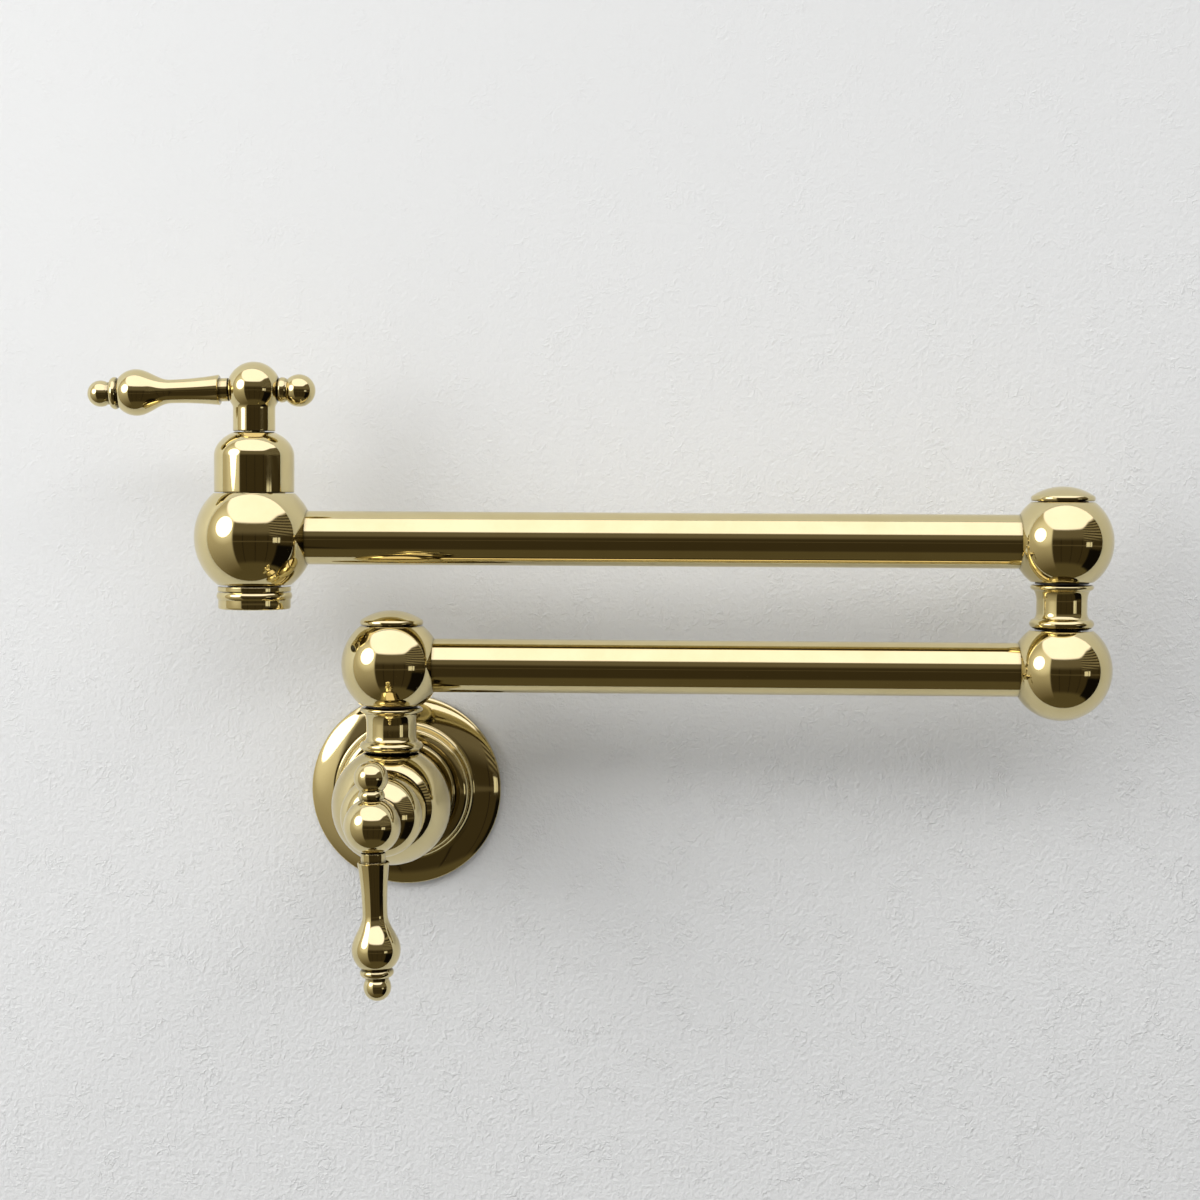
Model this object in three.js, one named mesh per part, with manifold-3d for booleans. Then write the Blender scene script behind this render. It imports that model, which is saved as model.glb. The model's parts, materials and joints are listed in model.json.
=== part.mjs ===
// Wall mounted pot filler: two hollow arms that fold on ball swivels, with a
// quarter-turn valve at the wall and another one over the outlet.
// Millimetres. The origin is the centre of the flange's back face, on the wall.
// +Y points into the wall, +Z up, and the folded arms run along X.

import * as THREE from "three";
import { mergeVertices } from "three/addons/utils/BufferGeometryUtils.js";
import Module from "manifold-3d";

const wasm = await Module();
wasm.setup();

// ---- Fits ----
const slip = 0.3; // gap round a shaft, plug or tenon, and under a seated face
const ringGap = 0.2; // gap round a seal or a disc
const neckGroove = 0.8; // shadow groove under each turned neck
const swivelGap = 1; // gap over each neck, where the ball turns
const spoutGroove = 0.6; // shadow groove over the outlet collar

// ---- Where the main pieces stand ----
const armOffset = 50.5; // wall to the plane of both arms
const lowerReach = 248.5; // shoulder axis to elbow axis
const upperReach = 300; // elbow axis to outlet axis
const handleReach = 55.3; // valve ball centre to handle hub centre
const wallLeverLean = 1.6; // degrees that the wall lever hangs off the vertical
const handleDrop = 2; // degrees that lever and finial drop towards the valve ball

// ---- Arm tubes ----
const tubeRadius = 10;
const tubeWall = 1.5;
const tubeSeat = 3.6; // length of tube inside each ball

// ---- Swivel balls ----
const swivelRadius = 18.8;
const swivelFlatRadius = 11.7; // flats that meet the neck and the cap
const spigotRadius = 7.6;
const chamberRadius = 11; // ring of water round the spigot's windows
const chamberHalfHeight = 5.5;
const ledgeHeight = 9.5; // ball centre to the ledge that carries the washer
const capBoreRadius = 9.6;
const portRadius = 5; // water port from a ball's inside to its tube

// ---- Valve balls ----
const valveRadius = 22.4;
const bonnetSeatRadius = 15.2;
const neckSeatRadius = 10.3;
const collarSeatRadius = 13.8;

// ---- Turned necks ----
const neckHeight = 16.2;
const neckBeadRadius = 11.9;
const neckBeadHeight = 3.4;
const neckBeadLip = 10.8; // radius at which the lower cove starts
const neckLowerCove = 2.6;
const neckWaistRadius = 9.35;
const neckUpperCove = 4.2;
const neckLipRadius = 11.7;
const neckLipHeight = 2;
const neckLipRound = 0.7;
const neckTenonRadius = 6.9;
const neckTenonLength = 6.5;
const neckBore = 4.2;
const spigotWindow = 2.6; // radius of the windows drilled across the spigot
const ringSection = 1.4; // thickness of a swivel O-ring
const ringHeight = 1.8;
const ringInset = 2; // centre of an O-ring from the edge of its land
const landClearance = 0.4; // round the spigot, in the bore that the O-rings seal

// ---- Swivel screw, washers and cap ----
const screwRadius = 2.8;
const screwLength = 6;
const screwHeadRadius = 5.6;
const screwHeadHeight = 1.8;
const screwSocketRadius = 2.2;
const screwSocketFloor = 0.6; // metal left under the socket
const washerThickness = 1;
const thrustWasherRadius = 10;
const thrustWasherThickness = 0.5;
const capRadius = 11.8;
const capEdge = 1.9;
const capCrown = 3.6; // height of the cap's low dome over its edge
const capPlug = 1.6; // depth of the cap's plug in the ball

// ---- Quarter-turn cartridge ----
const cageRadius = 9.3;
const cageWall = 1.4;
const seatDepth = 10; // ball centre to the seat under the cartridge
const waterway = 5.6;
const sealHeight = 2;
const discHeight = 2.6;
const discPort = 1.9;
const discPortOffset = 4.6;
const tangLength = 9;
const tangWidth = 2.8;
const tangDepth = 1.1; // engagement of the stem in the turning disc
const tangHeight = 4.6;
const windowWidth = 8;
const windowHeight = 5.6;
const stemRadius = 3.9;
const stemCollarRadius = 6.2;
const stemCollarHeight = 2;
const glandSeat = 10; // ball centre to the ledge under the gland
const glandRadius = 11.6;
const glandHeight = 8;
const glandNutRadius = 10.4;
const glandNutHeight = 4.4;

// ---- Bonnet, hub, lever and finial ----
const bonnetRadius = 14.9;
const bonnetSkirt = 13.6;
const domeRise = 10.3; // the dome is a quarter ellipse of this height
const bonnetTopRadius = 7.6;
const bonnetWall = 2.4;
const sleeveRadius = 7.85;
const hubRadius = 10.1;
const hubBoreOver = 1; // the hub's bore ends this far past the hub's centre
const tenonRadius = 2.7; // threaded ends of lever and finial
const leverCollarRadius = 4.35;
const leverCollarLength = 3.4;
const leverFlareRadius = 5.65;
const leverWaistRadius = 4.42;
const leverWaistAt = 31; // hub centre to the thinnest place
const leverSwellAt = 31.4; // hub centre to the start of the bulb
const leverBulbRadius = 8.7;
const leverBulbAt = 44.1;
const leverBulbEnd = 50.1;
const leverRingRadius = 6.05;
const leverRingLength = 2.9;
const leverGroove = 0.7;
const knobRadius = 4.92;
const knobAt = 57.6;
const finialRingRadius = 4.65;
const finialRingLength = 2.9;
const finialRingCrest = 1; // ring's inner end to its widest place
const finialWaistRadius = 4.2;
const finialRadius = 6.05;
const finialAt = 16.9;

// ---- Wall flange, shank and inlet ----
const flangeRadius = 37.3;
const flangeEdge = 3.2; // height of the flange's straight outer edge
const rimCrestRadius = 31.6;
const rimCrestHeight = 6.5;
const valleyRadius = 27.6;
const valleyHeight = 5.8;
const collarRadius = 25.3;
const collarHeight = 13.8;
const collarLipRadius = 21.8;
const collarFaceDrop = 0.4; // the collar's face dips this far towards the shank
const flangeShell = 2.3;
const collarSkirt = 6; // depth of the collar's bore
const shankFootRadius = 20.3; // the end of the shank, inside the collar
const shankRadius = 17.5;
const shankRecess = 3.8; // wall to the shank's rear end
const shankFoot = 9.7; // length of the shank's wide end
const shankCove = 11; // length over which the shank narrows
const nippleRadius = 10.65;
const nippleBore = 7.9;
const nippleBehindWall = 20;
const nippleSeat = 17; // length of nipple inside the shank
const gasketWidth = 6;
const gasketHeight = 3.2;
const grubRadius = 1.5;

// ---- Outlet collar and aerator ----
const collarPlateRadius = 13.65;
const collarPlateHeight = 1.9;
const collarTenonRadius = 10;
const collarTenonLength = 3.8;
const collarSleeveHeight = 1.4;
const outletBore = 8;
const aeratorRadius = 14.1;
const aeratorBulge = 2.9;
const aeratorBulgeRound = 1;
const aeratorBandRadius = 13.5;
const aeratorBand = 3.5;
const aeratorWall = 2.1;
const aeratorLip = 1.2; // the turned-in lip that holds the insert
const aeratorRound = 0.9;
const aeratorWasher = 0.8;
const aeratorInsert = 2;
const jetRadius = 1.3;
const jetCircle = 6.6;
const jetCount = 6;

// ---- Facets round each turned piece ----
const flangeSides = 28;
const ballSides = 24;
const swivelSides = 20;
const neckSides = 16;
const leverSides = 12;
const pinSides = 8;
const hexSides = 6;

// ---- Places that follow from the sizes above ----
const chord = (radius, reach) => Math.sqrt(radius ** 2 - reach ** 2);
const swivelFlat = chord(swivelRadius, swivelFlatRadius);
const neckSeat = chord(valveRadius, neckSeatRadius);
const bonnetSeat = chord(valveRadius, bonnetSeatRadius);
const collarSeat = chord(valveRadius, collarSeatRadius);
const neckStand = neckGroove + neckHeight + swivelGap; // flat to flat over a neck
const shoulderRise = neckSeat + neckStand + swivelFlat;
const elbowRise = swivelFlat + neckStand + swivelFlat;
const landRadius = spigotRadius + landClearance;
const socketRadius = tubeRadius + slip;
const swivelSocket = chord(swivelRadius, socketRadius) - tubeSeat;
const valveSocket = chord(valveRadius, socketRadius) - tubeSeat;
const cavityRadius = cageRadius + slip;
const cageBore = cageRadius - cageWall;
const discRadius = cageBore - 2 * ringGap;
const sealBottom = -seatDepth + ringGap;
const fixedDiscBottom = sealBottom + sealHeight + ringGap;
const turningDiscBottom = fixedDiscBottom + discHeight + ringGap;
const turningDiscTop = turningDiscBottom + discHeight;
const bonnetBase = bonnetSeat + slip;
const domeBase = bonnetBase + bonnetSkirt;
const bonnetTop = domeBase + (domeRise * chord(bonnetRadius, bonnetTopRadius)) / bonnetRadius;
const hubBore = stemRadius + slip;
const hubBoreEnd = handleReach + hubBoreOver;
const leverSeat = chord(hubRadius, leverCollarRadius);
const finialSeat = chord(hubRadius, finialRingRadius);
const tenonStart = stemRadius + 2 * slip;
const handleTurn = THREE.MathUtils.degToRad(90 + handleDrop);

// ---- Materials ----
const brass = (roughness) =>
  new THREE.MeshStandardMaterial({ color: 0xc8ab62, metalness: 1, roughness });
const polishedBrass = () => brass(0.12);
const rawBrass = () => brass(0.35);
const steel = () =>
  new THREE.MeshStandardMaterial({ color: 0xb8bcc0, metalness: 1, roughness: 0.3 });
const rubber = () =>
  new THREE.MeshStandardMaterial({ color: 0x1c1c1e, metalness: 0, roughness: 0.8 });
const nylon = () =>
  new THREE.MeshStandardMaterial({ color: 0x2a2622, metalness: 0, roughness: 0.5 });
const ceramic = () =>
  new THREE.MeshStandardMaterial({ color: 0xf1efe8, metalness: 0, roughness: 0.25 });

// ---- Solid modelling helpers ----

const nearAxis = 1e-6;
const weldDistance = 1e-4;

// Turns an outline of [radius, height] points about +Z. An outline that starts
// off the axis is closed on itself, so it makes a ring.
function turned(outline, sides) {
  const points = outline.map(([radius, height]) => new THREE.Vector2(radius, height));
  if (THREE.ShapeUtils.isClockWise(points)) points.reverse();
  if (points[0].x > nearAxis) points.push(points[0].clone());
  return new THREE.LatheGeometry(points, sides).rotateX(Math.PI / 2);
}

// A round bar along +Z between two heights.
function bar(radius, from, to, sides) {
  return turned([[0, from], [radius, from], [radius, to], [0, to]], sides);
}

// Points of a circle or ellipse about [0, height]: the outline's half width is
// `wide`, its half height `tall`, and it runs between two heights.
function roundStretch(wide, tall, height, from, to, steps) {
  const angleAt = (at) => Math.asin(THREE.MathUtils.clamp((at - height) / tall, -1, 1));
  const startAngle = angleAt(from);
  const endAngle = angleAt(to);
  return Array.from({ length: steps + 1 }, (_, i) => {
    const angle = startAngle + ((endAngle - startAngle) * i) / steps;
    return [wide * Math.cos(angle), height + tall * Math.sin(angle)];
  });
}

// Points of the outline of a ball about [0, height], from one height below its
// equator to one above it, with a point on the equator itself.
function ballStretch(radius, height, from, to, stepsBelow, stepsAbove) {
  return [
    ...roundStretch(radius, radius, height, from, height, stepsBelow),
    ...roundStretch(radius, radius, height, height, to, stepsAbove).slice(1),
  ];
}

// Points of a quarter ellipse between two corners. It leaves the first one
// along the radius when `alongRadius` is set, and along the height otherwise.
function quarter([r0, h0], [r1, h1], alongRadius, steps) {
  return Array.from({ length: steps + 1 }, (_, i) => {
    const angle = (Math.PI / 2) * (i / steps);
    const early = Math.sin(angle);
    const late = 1 - Math.cos(angle);
    const [u, v] = alongRadius ? [early, late] : [late, early];
    return [r0 + (r1 - r0) * u, h0 + (h1 - h0) * v];
  });
}

// Points of a smooth step between two corners. It is level at both ends when
// `alongRadius` is set, and runs along the height at both ends otherwise.
function smoothStep([r0, h0], [r1, h1], alongRadius, steps) {
  return Array.from({ length: steps + 1 }, (_, i) => {
    const share = i / steps;
    const eased = (1 - Math.cos(Math.PI * share)) / 2;
    const [u, v] = alongRadius ? [share, eased] : [eased, share];
    return [r0 + (r1 - r0) * u, h0 + (h1 - h0) * v];
  });
}

function solidOf(geometry) {
  const bare = geometry.index ? geometry.toNonIndexed() : geometry.clone();
  bare.deleteAttribute("normal");
  bare.deleteAttribute("uv");
  const merged = mergeVertices(bare, weldDistance);
  return new wasm.Manifold(
    new wasm.Mesh({
      numProp: 3,
      vertProperties: merged.attributes.position.array,
      triVerts: new Uint32Array(merged.index.array),
    }),
  );
}

function geometryOf(solid) {
  const mesh = solid.getMesh();
  const geometry = new THREE.BufferGeometry();
  geometry.setAttribute("position", new THREE.BufferAttribute(mesh.vertProperties, 3));
  geometry.setIndex(new THREE.BufferAttribute(mesh.triVerts, 1));
  return geometry;
}

function cut(geometry, ...tools) {
  return geometryOf(tools.reduce((rest, tool) => rest.subtract(solidOf(tool)), solidOf(geometry)));
}

function join(geometry, ...others) {
  return geometryOf(others.reduce((sum, other) => sum.add(solidOf(other)), solidOf(geometry)));
}

// A bar turned to lie along +X instead of +Z.
const alongX = (geometry) => geometry.rotateY(Math.PI / 2);

function add(group, name, geometry, material) {
  const mesh = new THREE.Mesh(geometry, material);
  mesh.name = name;
  group.add(mesh);
}

function groupAt(parent, x, y, z) {
  const group = new THREE.Group();
  group.position.set(x, y, z);
  parent.add(group);
  return group;
}

// ---- Balls ----

// Cuts the socket for an arm tube and its water port into a ball, on the +X
// side or, with side -1, on the -X side.
function withTubeSocket(ball, socketStart, portStart, side) {
  const reach = valveRadius + slip;
  const socket = alongX(bar(socketRadius, socketStart, reach, swivelSides));
  const port = alongX(bar(portRadius, portStart, reach, pinSides));
  const turn = side < 0 ? Math.PI : 0;
  return cut(ball, socket.rotateZ(turn), port.rotateZ(turn));
}

// The ball that turns on a neck: a stepped bore with a water chamber.
function swivelBall(side) {
  const outline = [
    [landRadius, -swivelFlat],
    ...ballStretch(swivelRadius, 0, -swivelFlat, swivelFlat, 3, 3),
    [capBoreRadius, swivelFlat],
    [capBoreRadius, ledgeHeight],
    [landRadius, ledgeHeight],
    [landRadius, chamberHalfHeight],
    [chamberRadius, chamberHalfHeight],
    [chamberRadius, -chamberHalfHeight],
    [landRadius, -chamberHalfHeight],
  ];
  return withTubeSocket(turned(outline, swivelSides), swivelSocket, landRadius, side);
}

// The ball under the elbow neck: whole below, with a socket for the neck.
function elbowLowerBall() {
  const socketFloor = swivelFlat - neckTenonLength - slip;
  const outline = [
    ...ballStretch(swivelRadius, 0, -swivelRadius, swivelFlat, 5, 3),
    [neckTenonRadius + slip, swivelFlat],
    [neckTenonRadius + slip, socketFloor],
    [portRadius, socketFloor],
    [portRadius, 0],
    [0, -portRadius / 2],
  ];
  return withTubeSocket(turned(outline, swivelSides), swivelSocket, 0, -1);
}

// Outline of the cartridge's cavity, from the bonnet seat down to the waterway.
const cartridgeCavity = [
  [glandRadius + slip, bonnetSeat],
  [glandRadius + slip, glandSeat],
  [cavityRadius, glandSeat],
  [cavityRadius, -seatDepth],
  [waterway, -seatDepth],
];

// Wall valve: ball and shank in one. +Z points out of the wall here, and the
// neck's socket is on the +X side.
function wallValveBody() {
  const shankEnd = shankRecess - armOffset;
  const nippleFloor = shankEnd + nippleSeat + slip;
  const coveStart = shankEnd + shankFoot;
  const ballStart = -chord(valveRadius, shankRadius);
  const outline = [
    [nippleRadius + slip, shankEnd],
    [shankFootRadius, shankEnd],
    ...quarter([shankFootRadius, coveStart], [shankRadius, coveStart + shankCove], true, 3),
    ...ballStretch(valveRadius, 0, ballStart, bonnetSeat, 3, 4),
    ...cartridgeCavity,
    [waterway, nippleFloor],
    [nippleRadius + slip, nippleFloor],
  ];
  const tenonFloor = neckSeat - neckTenonLength - slip;
  return cut(
    turned(outline, ballSides),
    alongX(bar(neckSeatRadius + slip, neckSeat, valveRadius + slip, neckSides)),
    alongX(bar(neckTenonRadius + slip, tenonFloor, valveRadius, neckSides)),
    alongX(bar(portRadius, 0, valveRadius, pinSides)),
  );
}

// Spout valve: the ball that carries the second cartridge over the outlet.
function outletBall() {
  const tenonFloor = -collarSeat + collarTenonLength + slip;
  const outline = [
    [collarTenonRadius + slip, -collarSeat],
    ...ballStretch(valveRadius, 0, -collarSeat, bonnetSeat, 3, 3),
    ...cartridgeCavity,
    [waterway, tenonFloor],
    [collarTenonRadius + slip, tenonFloor],
  ];
  return withTubeSocket(turned(outline, ballSides), valveSocket, 0, 1);
}

// ---- Turned neck with its hollow spigot ----

// Height 0 is the flat that the neck stands on.
const ballCentreOverNeck = neckStand + swivelFlat;
const lowerRingAt = ballCentreOverNeck - chamberHalfHeight - ringInset;
const upperRingAt = ballCentreOverNeck + chamberHalfHeight + ringInset;
const spigotTop = ballCentreOverNeck + ledgeHeight - ringGap;
const ringBore = spigotRadius + ringGap - ringSection;

function ringLand(height) {
  const half = ringHeight / 2 + ringGap;
  return [
    [spigotRadius, height - half],
    [ringBore - ringGap, height - half],
    [ringBore - ringGap, height + half],
    [spigotRadius, height + half],
  ];
}

function neck() {
  const foot = neckGroove;
  const beadTop = foot + neckBeadHeight;
  const waistBottom = beadTop + neckLowerCove;
  const top = foot + neckHeight;
  const lipBottom = top - neckLipHeight;
  const waistTop = lipBottom - neckUpperCove;
  const beadMiddle = foot + neckBeadHeight / 2;
  const lipMiddle = lipBottom + neckLipHeight / 2;
  const lipInner = neckLipRadius - neckLipRound;
  const screwBoreStart = ballCentreOverNeck + spigotWindow;
  const outline = [
    [neckBore, -neckTenonLength],
    [neckTenonRadius, -neckTenonLength],
    [neckTenonRadius, slip],
    [neckSeatRadius - slip, slip],
    [neckSeatRadius - slip, foot],
    [neckBeadLip, foot],
    [neckBeadRadius, beadMiddle],
    [neckBeadLip, beadTop],
    ...quarter([neckBeadLip, beadTop], [neckWaistRadius, waistBottom], true, 2).slice(1),
    ...quarter([neckWaistRadius, waistTop], [lipInner, lipBottom], false, 2),
    [neckLipRadius, lipMiddle],
    [lipInner, top],
    [spigotRadius, top],
    ...ringLand(lowerRingAt),
    ...ringLand(upperRingAt),
    [spigotRadius, spigotTop],
    [screwRadius + slip, spigotTop],
    [screwRadius + slip, screwBoreStart],
    [neckBore, screwBoreStart],
  ];
  const reach = spigotRadius + slip;
  const windows = alongX(bar(spigotWindow, -reach, reach, pinSides));
  return cut(turned(outline, neckSides), windows.translate(0, 0, ballCentreOverNeck));
}

function swivelRing(height) {
  const middle = spigotRadius + ringGap - ringSection / 2;
  const half = ringSection / 2;
  return turned(
    [
      [middle - half, height],
      [middle, height - ringHeight / 2],
      [middle + half, height],
      [middle, height + ringHeight / 2],
    ],
    leverSides,
  );
}

function washer(bore, radius, bottom, thickness, sides) {
  const top = bottom + thickness;
  return turned([[bore, bottom], [radius, bottom], [radius, top], [bore, top]], sides);
}

const washerBottom = ballCentreOverNeck + ledgeHeight + ringGap;
const screwHeadBottom = washerBottom + washerThickness + ringGap;

function swivelScrew() {
  const headTop = screwHeadBottom + screwHeadHeight;
  const socketFloor = screwHeadBottom + screwSocketFloor;
  const screw = turned(
    [
      [0, screwHeadBottom - screwLength],
      [screwRadius, screwHeadBottom - screwLength],
      [screwRadius, screwHeadBottom],
      [screwHeadRadius, screwHeadBottom],
      [screwHeadRadius, headTop],
      [0, headTop],
    ],
    pinSides,
  );
  return cut(screw, bar(screwSocketRadius, socketFloor, headTop + slip, hexSides));
}

// Height 0 is the ball's centre for the cap.
function swivelCap() {
  const seat = swivelFlat + slip;
  const edgeTop = seat + capEdge;
  const edgeRadius = capRadius - slip;
  const capTop = edgeTop + capCrown;
  const crownRadius = (edgeRadius ** 2 + capCrown ** 2) / (2 * capCrown);
  const crownCentre = capTop - crownRadius;
  const plugRadius = capBoreRadius - slip;
  const outline = [
    [0, swivelFlat - capPlug],
    [plugRadius, swivelFlat - capPlug],
    [plugRadius, seat],
    [edgeRadius, seat],
    [capRadius, seat + capEdge / 2],
    ...roundStretch(crownRadius, crownRadius, crownCentre, edgeTop, capTop, 3),
  ];
  return turned(outline, swivelSides);
}

// Adds a neck and all that stays on its spigot. The group's origin is the
// centre of the flat that the neck stands on.
function addNeck(group, joint) {
  add(group, `${joint}_neck`, neck(), polishedBrass());
  add(group, `${joint}_lower_o_ring`, swivelRing(lowerRingAt), rubber());
  add(group, `${joint}_upper_o_ring`, swivelRing(upperRingAt), rubber());
  const thrustBottom = neckGroove + neckHeight + (swivelGap - thrustWasherThickness) / 2;
  const thrust = washer(
    landRadius,
    thrustWasherRadius,
    thrustBottom,
    thrustWasherThickness,
    leverSides,
  );
  add(group, `${joint}_thrust_washer`, thrust, nylon());
  const holder = washer(
    screwRadius + slip,
    capBoreRadius - slip,
    washerBottom,
    washerThickness,
    leverSides,
  );
  add(group, `${joint}_washer`, holder, steel());
  add(group, `${joint}_screw`, swivelScrew(), steel());
}

// ---- Quarter-turn cartridge: height 0 is the ball's centre ----

function valveDisc(bottom, portsAlongX, slotted) {
  const top = bottom + discHeight;
  const tools = [-1, 1].map((side) => {
    const port = bar(discPort, bottom - slip, top + slip, pinSides);
    const offset = side * discPortOffset;
    return portsAlongX ? port.translate(offset, 0, 0) : port.translate(0, offset, 0);
  });
  if (slotted) {
    const slot = new THREE.BoxGeometry(tangWidth + slip, tangLength + slip, 2 * (tangDepth + ringGap));
    tools.push(slot.translate(0, 0, top));
  }
  return cut(bar(discRadius, bottom, top, leverSides), ...tools);
}

function cartridge() {
  const glandTop = glandSeat + slip + glandHeight;
  const nutTop = glandTop + glandNutHeight;
  const chamberTop = glandSeat - cageWall;
  const outline = [
    [cageBore, fixedDiscBottom],
    [cageRadius, fixedDiscBottom],
    [cageRadius, glandSeat + slip],
    [glandRadius, glandSeat + slip],
    [glandRadius, glandTop],
    [stemRadius + slip, glandTop],
    [stemRadius + slip, chamberTop],
    [cageBore, chamberTop],
  ];
  const nut = cut(
    bar(glandNutRadius, glandTop - cageWall, nutTop, hexSides),
    bar(stemRadius + slip, glandTop - 2 * cageWall, nutTop + slip, leverSides),
  );
  const windows = new THREE.BoxGeometry(2 * cavityRadius, windowWidth, windowHeight);
  const windowMiddle = turningDiscTop + windowHeight / 2 + slip;
  return cut(join(turned(outline, leverSides), nut), windows.translate(0, 0, windowMiddle));
}

function stem() {
  const tangBottom = turningDiscTop - tangDepth;
  const tangTop = tangBottom + tangHeight;
  const collarTop = glandSeat - cageWall - slip;
  const collarBottom = collarTop - stemCollarHeight;
  const shaft = turned(
    [
      [0, tangTop - tangDepth],
      [stemRadius, tangTop - tangDepth],
      [stemRadius, collarBottom],
      [stemCollarRadius, collarBottom],
      [stemCollarRadius, collarTop],
      [stemRadius, collarTop],
      [stemRadius, hubBoreEnd - slip],
      [0, hubBoreEnd - slip],
    ],
    pinSides,
  );
  const tang = new THREE.BoxGeometry(tangWidth, tangLength, tangHeight);
  return join(shaft, tang.translate(0, 0, tangBottom + tangHeight / 2));
}

function bonnet() {
  const inner = bonnetRadius - bonnetWall;
  const ceiling = bonnetTop - bonnetWall;
  const outline = [
    [inner, bonnetBase],
    [bonnetRadius, bonnetBase],
    ...roundStretch(bonnetRadius, domeRise, domeBase, domeBase, bonnetTop, 4),
    [hubBore + slip, bonnetTop],
    [hubBore + slip, ceiling],
    ...quarter([hubBore + bonnetWall, ceiling], [inner, domeBase], true, 2),
  ];
  return turned(outline, swivelSides);
}

// ---- Handle: hub, lever and finial ----

// Turns a piece along +Z to lie as the lever (side -1) or the finial (side 1)
// does, and moves it to the hub's centre.
function onHub(geometry, side) {
  return geometry.rotateY(side * handleTurn).translate(0, 0, handleReach);
}

function hub() {
  const sleeveTop = handleReach - chord(hubRadius, sleeveRadius);
  const outline = [
    [0, hubBoreEnd],
    [hubBore, hubBoreEnd],
    [hubBore, bonnetTop + slip],
    [sleeveRadius, bonnetTop + slip],
    ...ballStretch(hubRadius, handleReach, sleeveTop, handleReach + hubRadius, 2, 4),
  ];
  const reach = hubRadius + slip;
  const threadRadius = tenonRadius + ringGap;
  return cut(
    turned(outline, neckSides),
    onHub(bar(threadRadius, 0, reach, leverSides), -1),
    onHub(bar(threadRadius, 0, reach, leverSides), 1),
    onHub(bar(leverFlareRadius, leverSeat, reach, pinSides), -1),
    onHub(bar(finialRadius, finialSeat, reach, pinSides), 1),
  );
}

// Points of the lever's slender part, which narrows from its flare to its waist.
function leverShank(flareAt, steps) {
  return Array.from({ length: steps + 1 }, (_, i) => {
    const share = 1 - i / steps;
    const radius = leverWaistRadius + (leverFlareRadius - leverWaistRadius) * share ** 2;
    return [radius, leverWaistAt + (flareAt - leverWaistAt) * share];
  });
}

// Height 0 is the hub's centre, and the lever runs along +Z here.
function lever() {
  const collarStart = leverSeat + slip;
  const flareStart = collarStart + leverCollarLength;
  const ringStart = leverBulbEnd + leverGroove;
  const ringEnd = ringStart + leverRingLength;
  const grooveRadius = leverRingRadius - leverGroove;
  const knobNeck = knobRadius - leverGroove;
  const knobStart = knobAt - chord(knobRadius, knobNeck);
  const outline = [
    [0, tenonStart],
    [tenonRadius, tenonStart],
    [tenonRadius, collarStart],
    [leverCollarRadius, collarStart],
    [leverCollarRadius, flareStart],
    [leverFlareRadius - slip, flareStart],
    ...leverShank(flareStart + slip, 2),
    ...smoothStep([leverWaistRadius, leverSwellAt], [leverBulbRadius, leverBulbAt], false, 4),
    ...roundStretch(
      leverBulbRadius,
      leverBulbRadius,
      leverBulbAt,
      leverBulbAt,
      leverBulbEnd,
      3,
    ).slice(1),
    [grooveRadius, ringStart],
    [leverRingRadius, ringStart + leverGroove / 2],
    [leverRingRadius, ringEnd - leverGroove],
    [knobNeck, ringEnd],
    ...ballStretch(knobRadius, knobAt, knobStart, knobAt + knobRadius, 2, 3),
  ];
  return turned(outline, leverSides);
}

// Height 0 is the hub's centre, and the finial runs along +Z here.
function finial() {
  const ringStart = finialSeat + slip;
  const ringEnd = ringStart + finialRingLength;
  const ballStart = finialAt - chord(finialRadius, finialWaistRadius);
  const outline = [
    [0, tenonStart],
    [tenonRadius, tenonStart],
    [tenonRadius, ringStart],
    [finialRingRadius - slip, ringStart],
    [finialRingRadius, ringStart + finialRingCrest],
    [finialWaistRadius, ringEnd],
    ...ballStretch(finialRadius, finialAt, ballStart, finialAt + finialRadius, 3, 3),
  ];
  return turned(outline, leverSides);
}

// Adds one valve's cartridge, bonnet and handle. The group's +Z is the valve's
// axis, and the lever points along -X. The handle is turned by `lean` degrees.
function addValve(group, place, lean) {
  const seal = washer(waterway + ringGap, cageRadius, sealBottom, sealHeight, leverSides);
  add(group, `${place}_seat_seal`, seal, rubber());
  add(group, `${place}_fixed_disc`, valveDisc(fixedDiscBottom, false, false), ceramic());
  add(group, `${place}_cartridge`, cartridge(), rawBrass());
  add(group, `${place}_bonnet`, bonnet(), polishedBrass());

  const handle = groupAt(group, 0, 0, 0);
  handle.rotation.z = THREE.MathUtils.degToRad(lean);
  add(handle, `${place}_turning_disc`, valveDisc(turningDiscBottom, true, true), ceramic());
  add(handle, `${place}_stem`, stem(), rawBrass());
  add(handle, `${place}_hub`, hub(), polishedBrass());
  const leverGroup = groupAt(handle, 0, 0, handleReach);
  leverGroup.rotation.y = -handleTurn;
  add(leverGroup, `${place}_lever`, lever(), polishedBrass());
  const finialGroup = groupAt(handle, 0, 0, handleReach);
  finialGroup.rotation.y = handleTurn;
  add(finialGroup, `${place}_finial`, finial(), polishedBrass());
}

// ---- Wall flange, gasket, grub screw and nipple: +Z points out of the wall ----

const flangeBore = shankFootRadius + slip;
const collarFace = collarHeight - collarFaceDrop;
const collarBack = collarFace - collarSkirt;
const grubHeight = (collarFace + collarBack) / 2;

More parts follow.
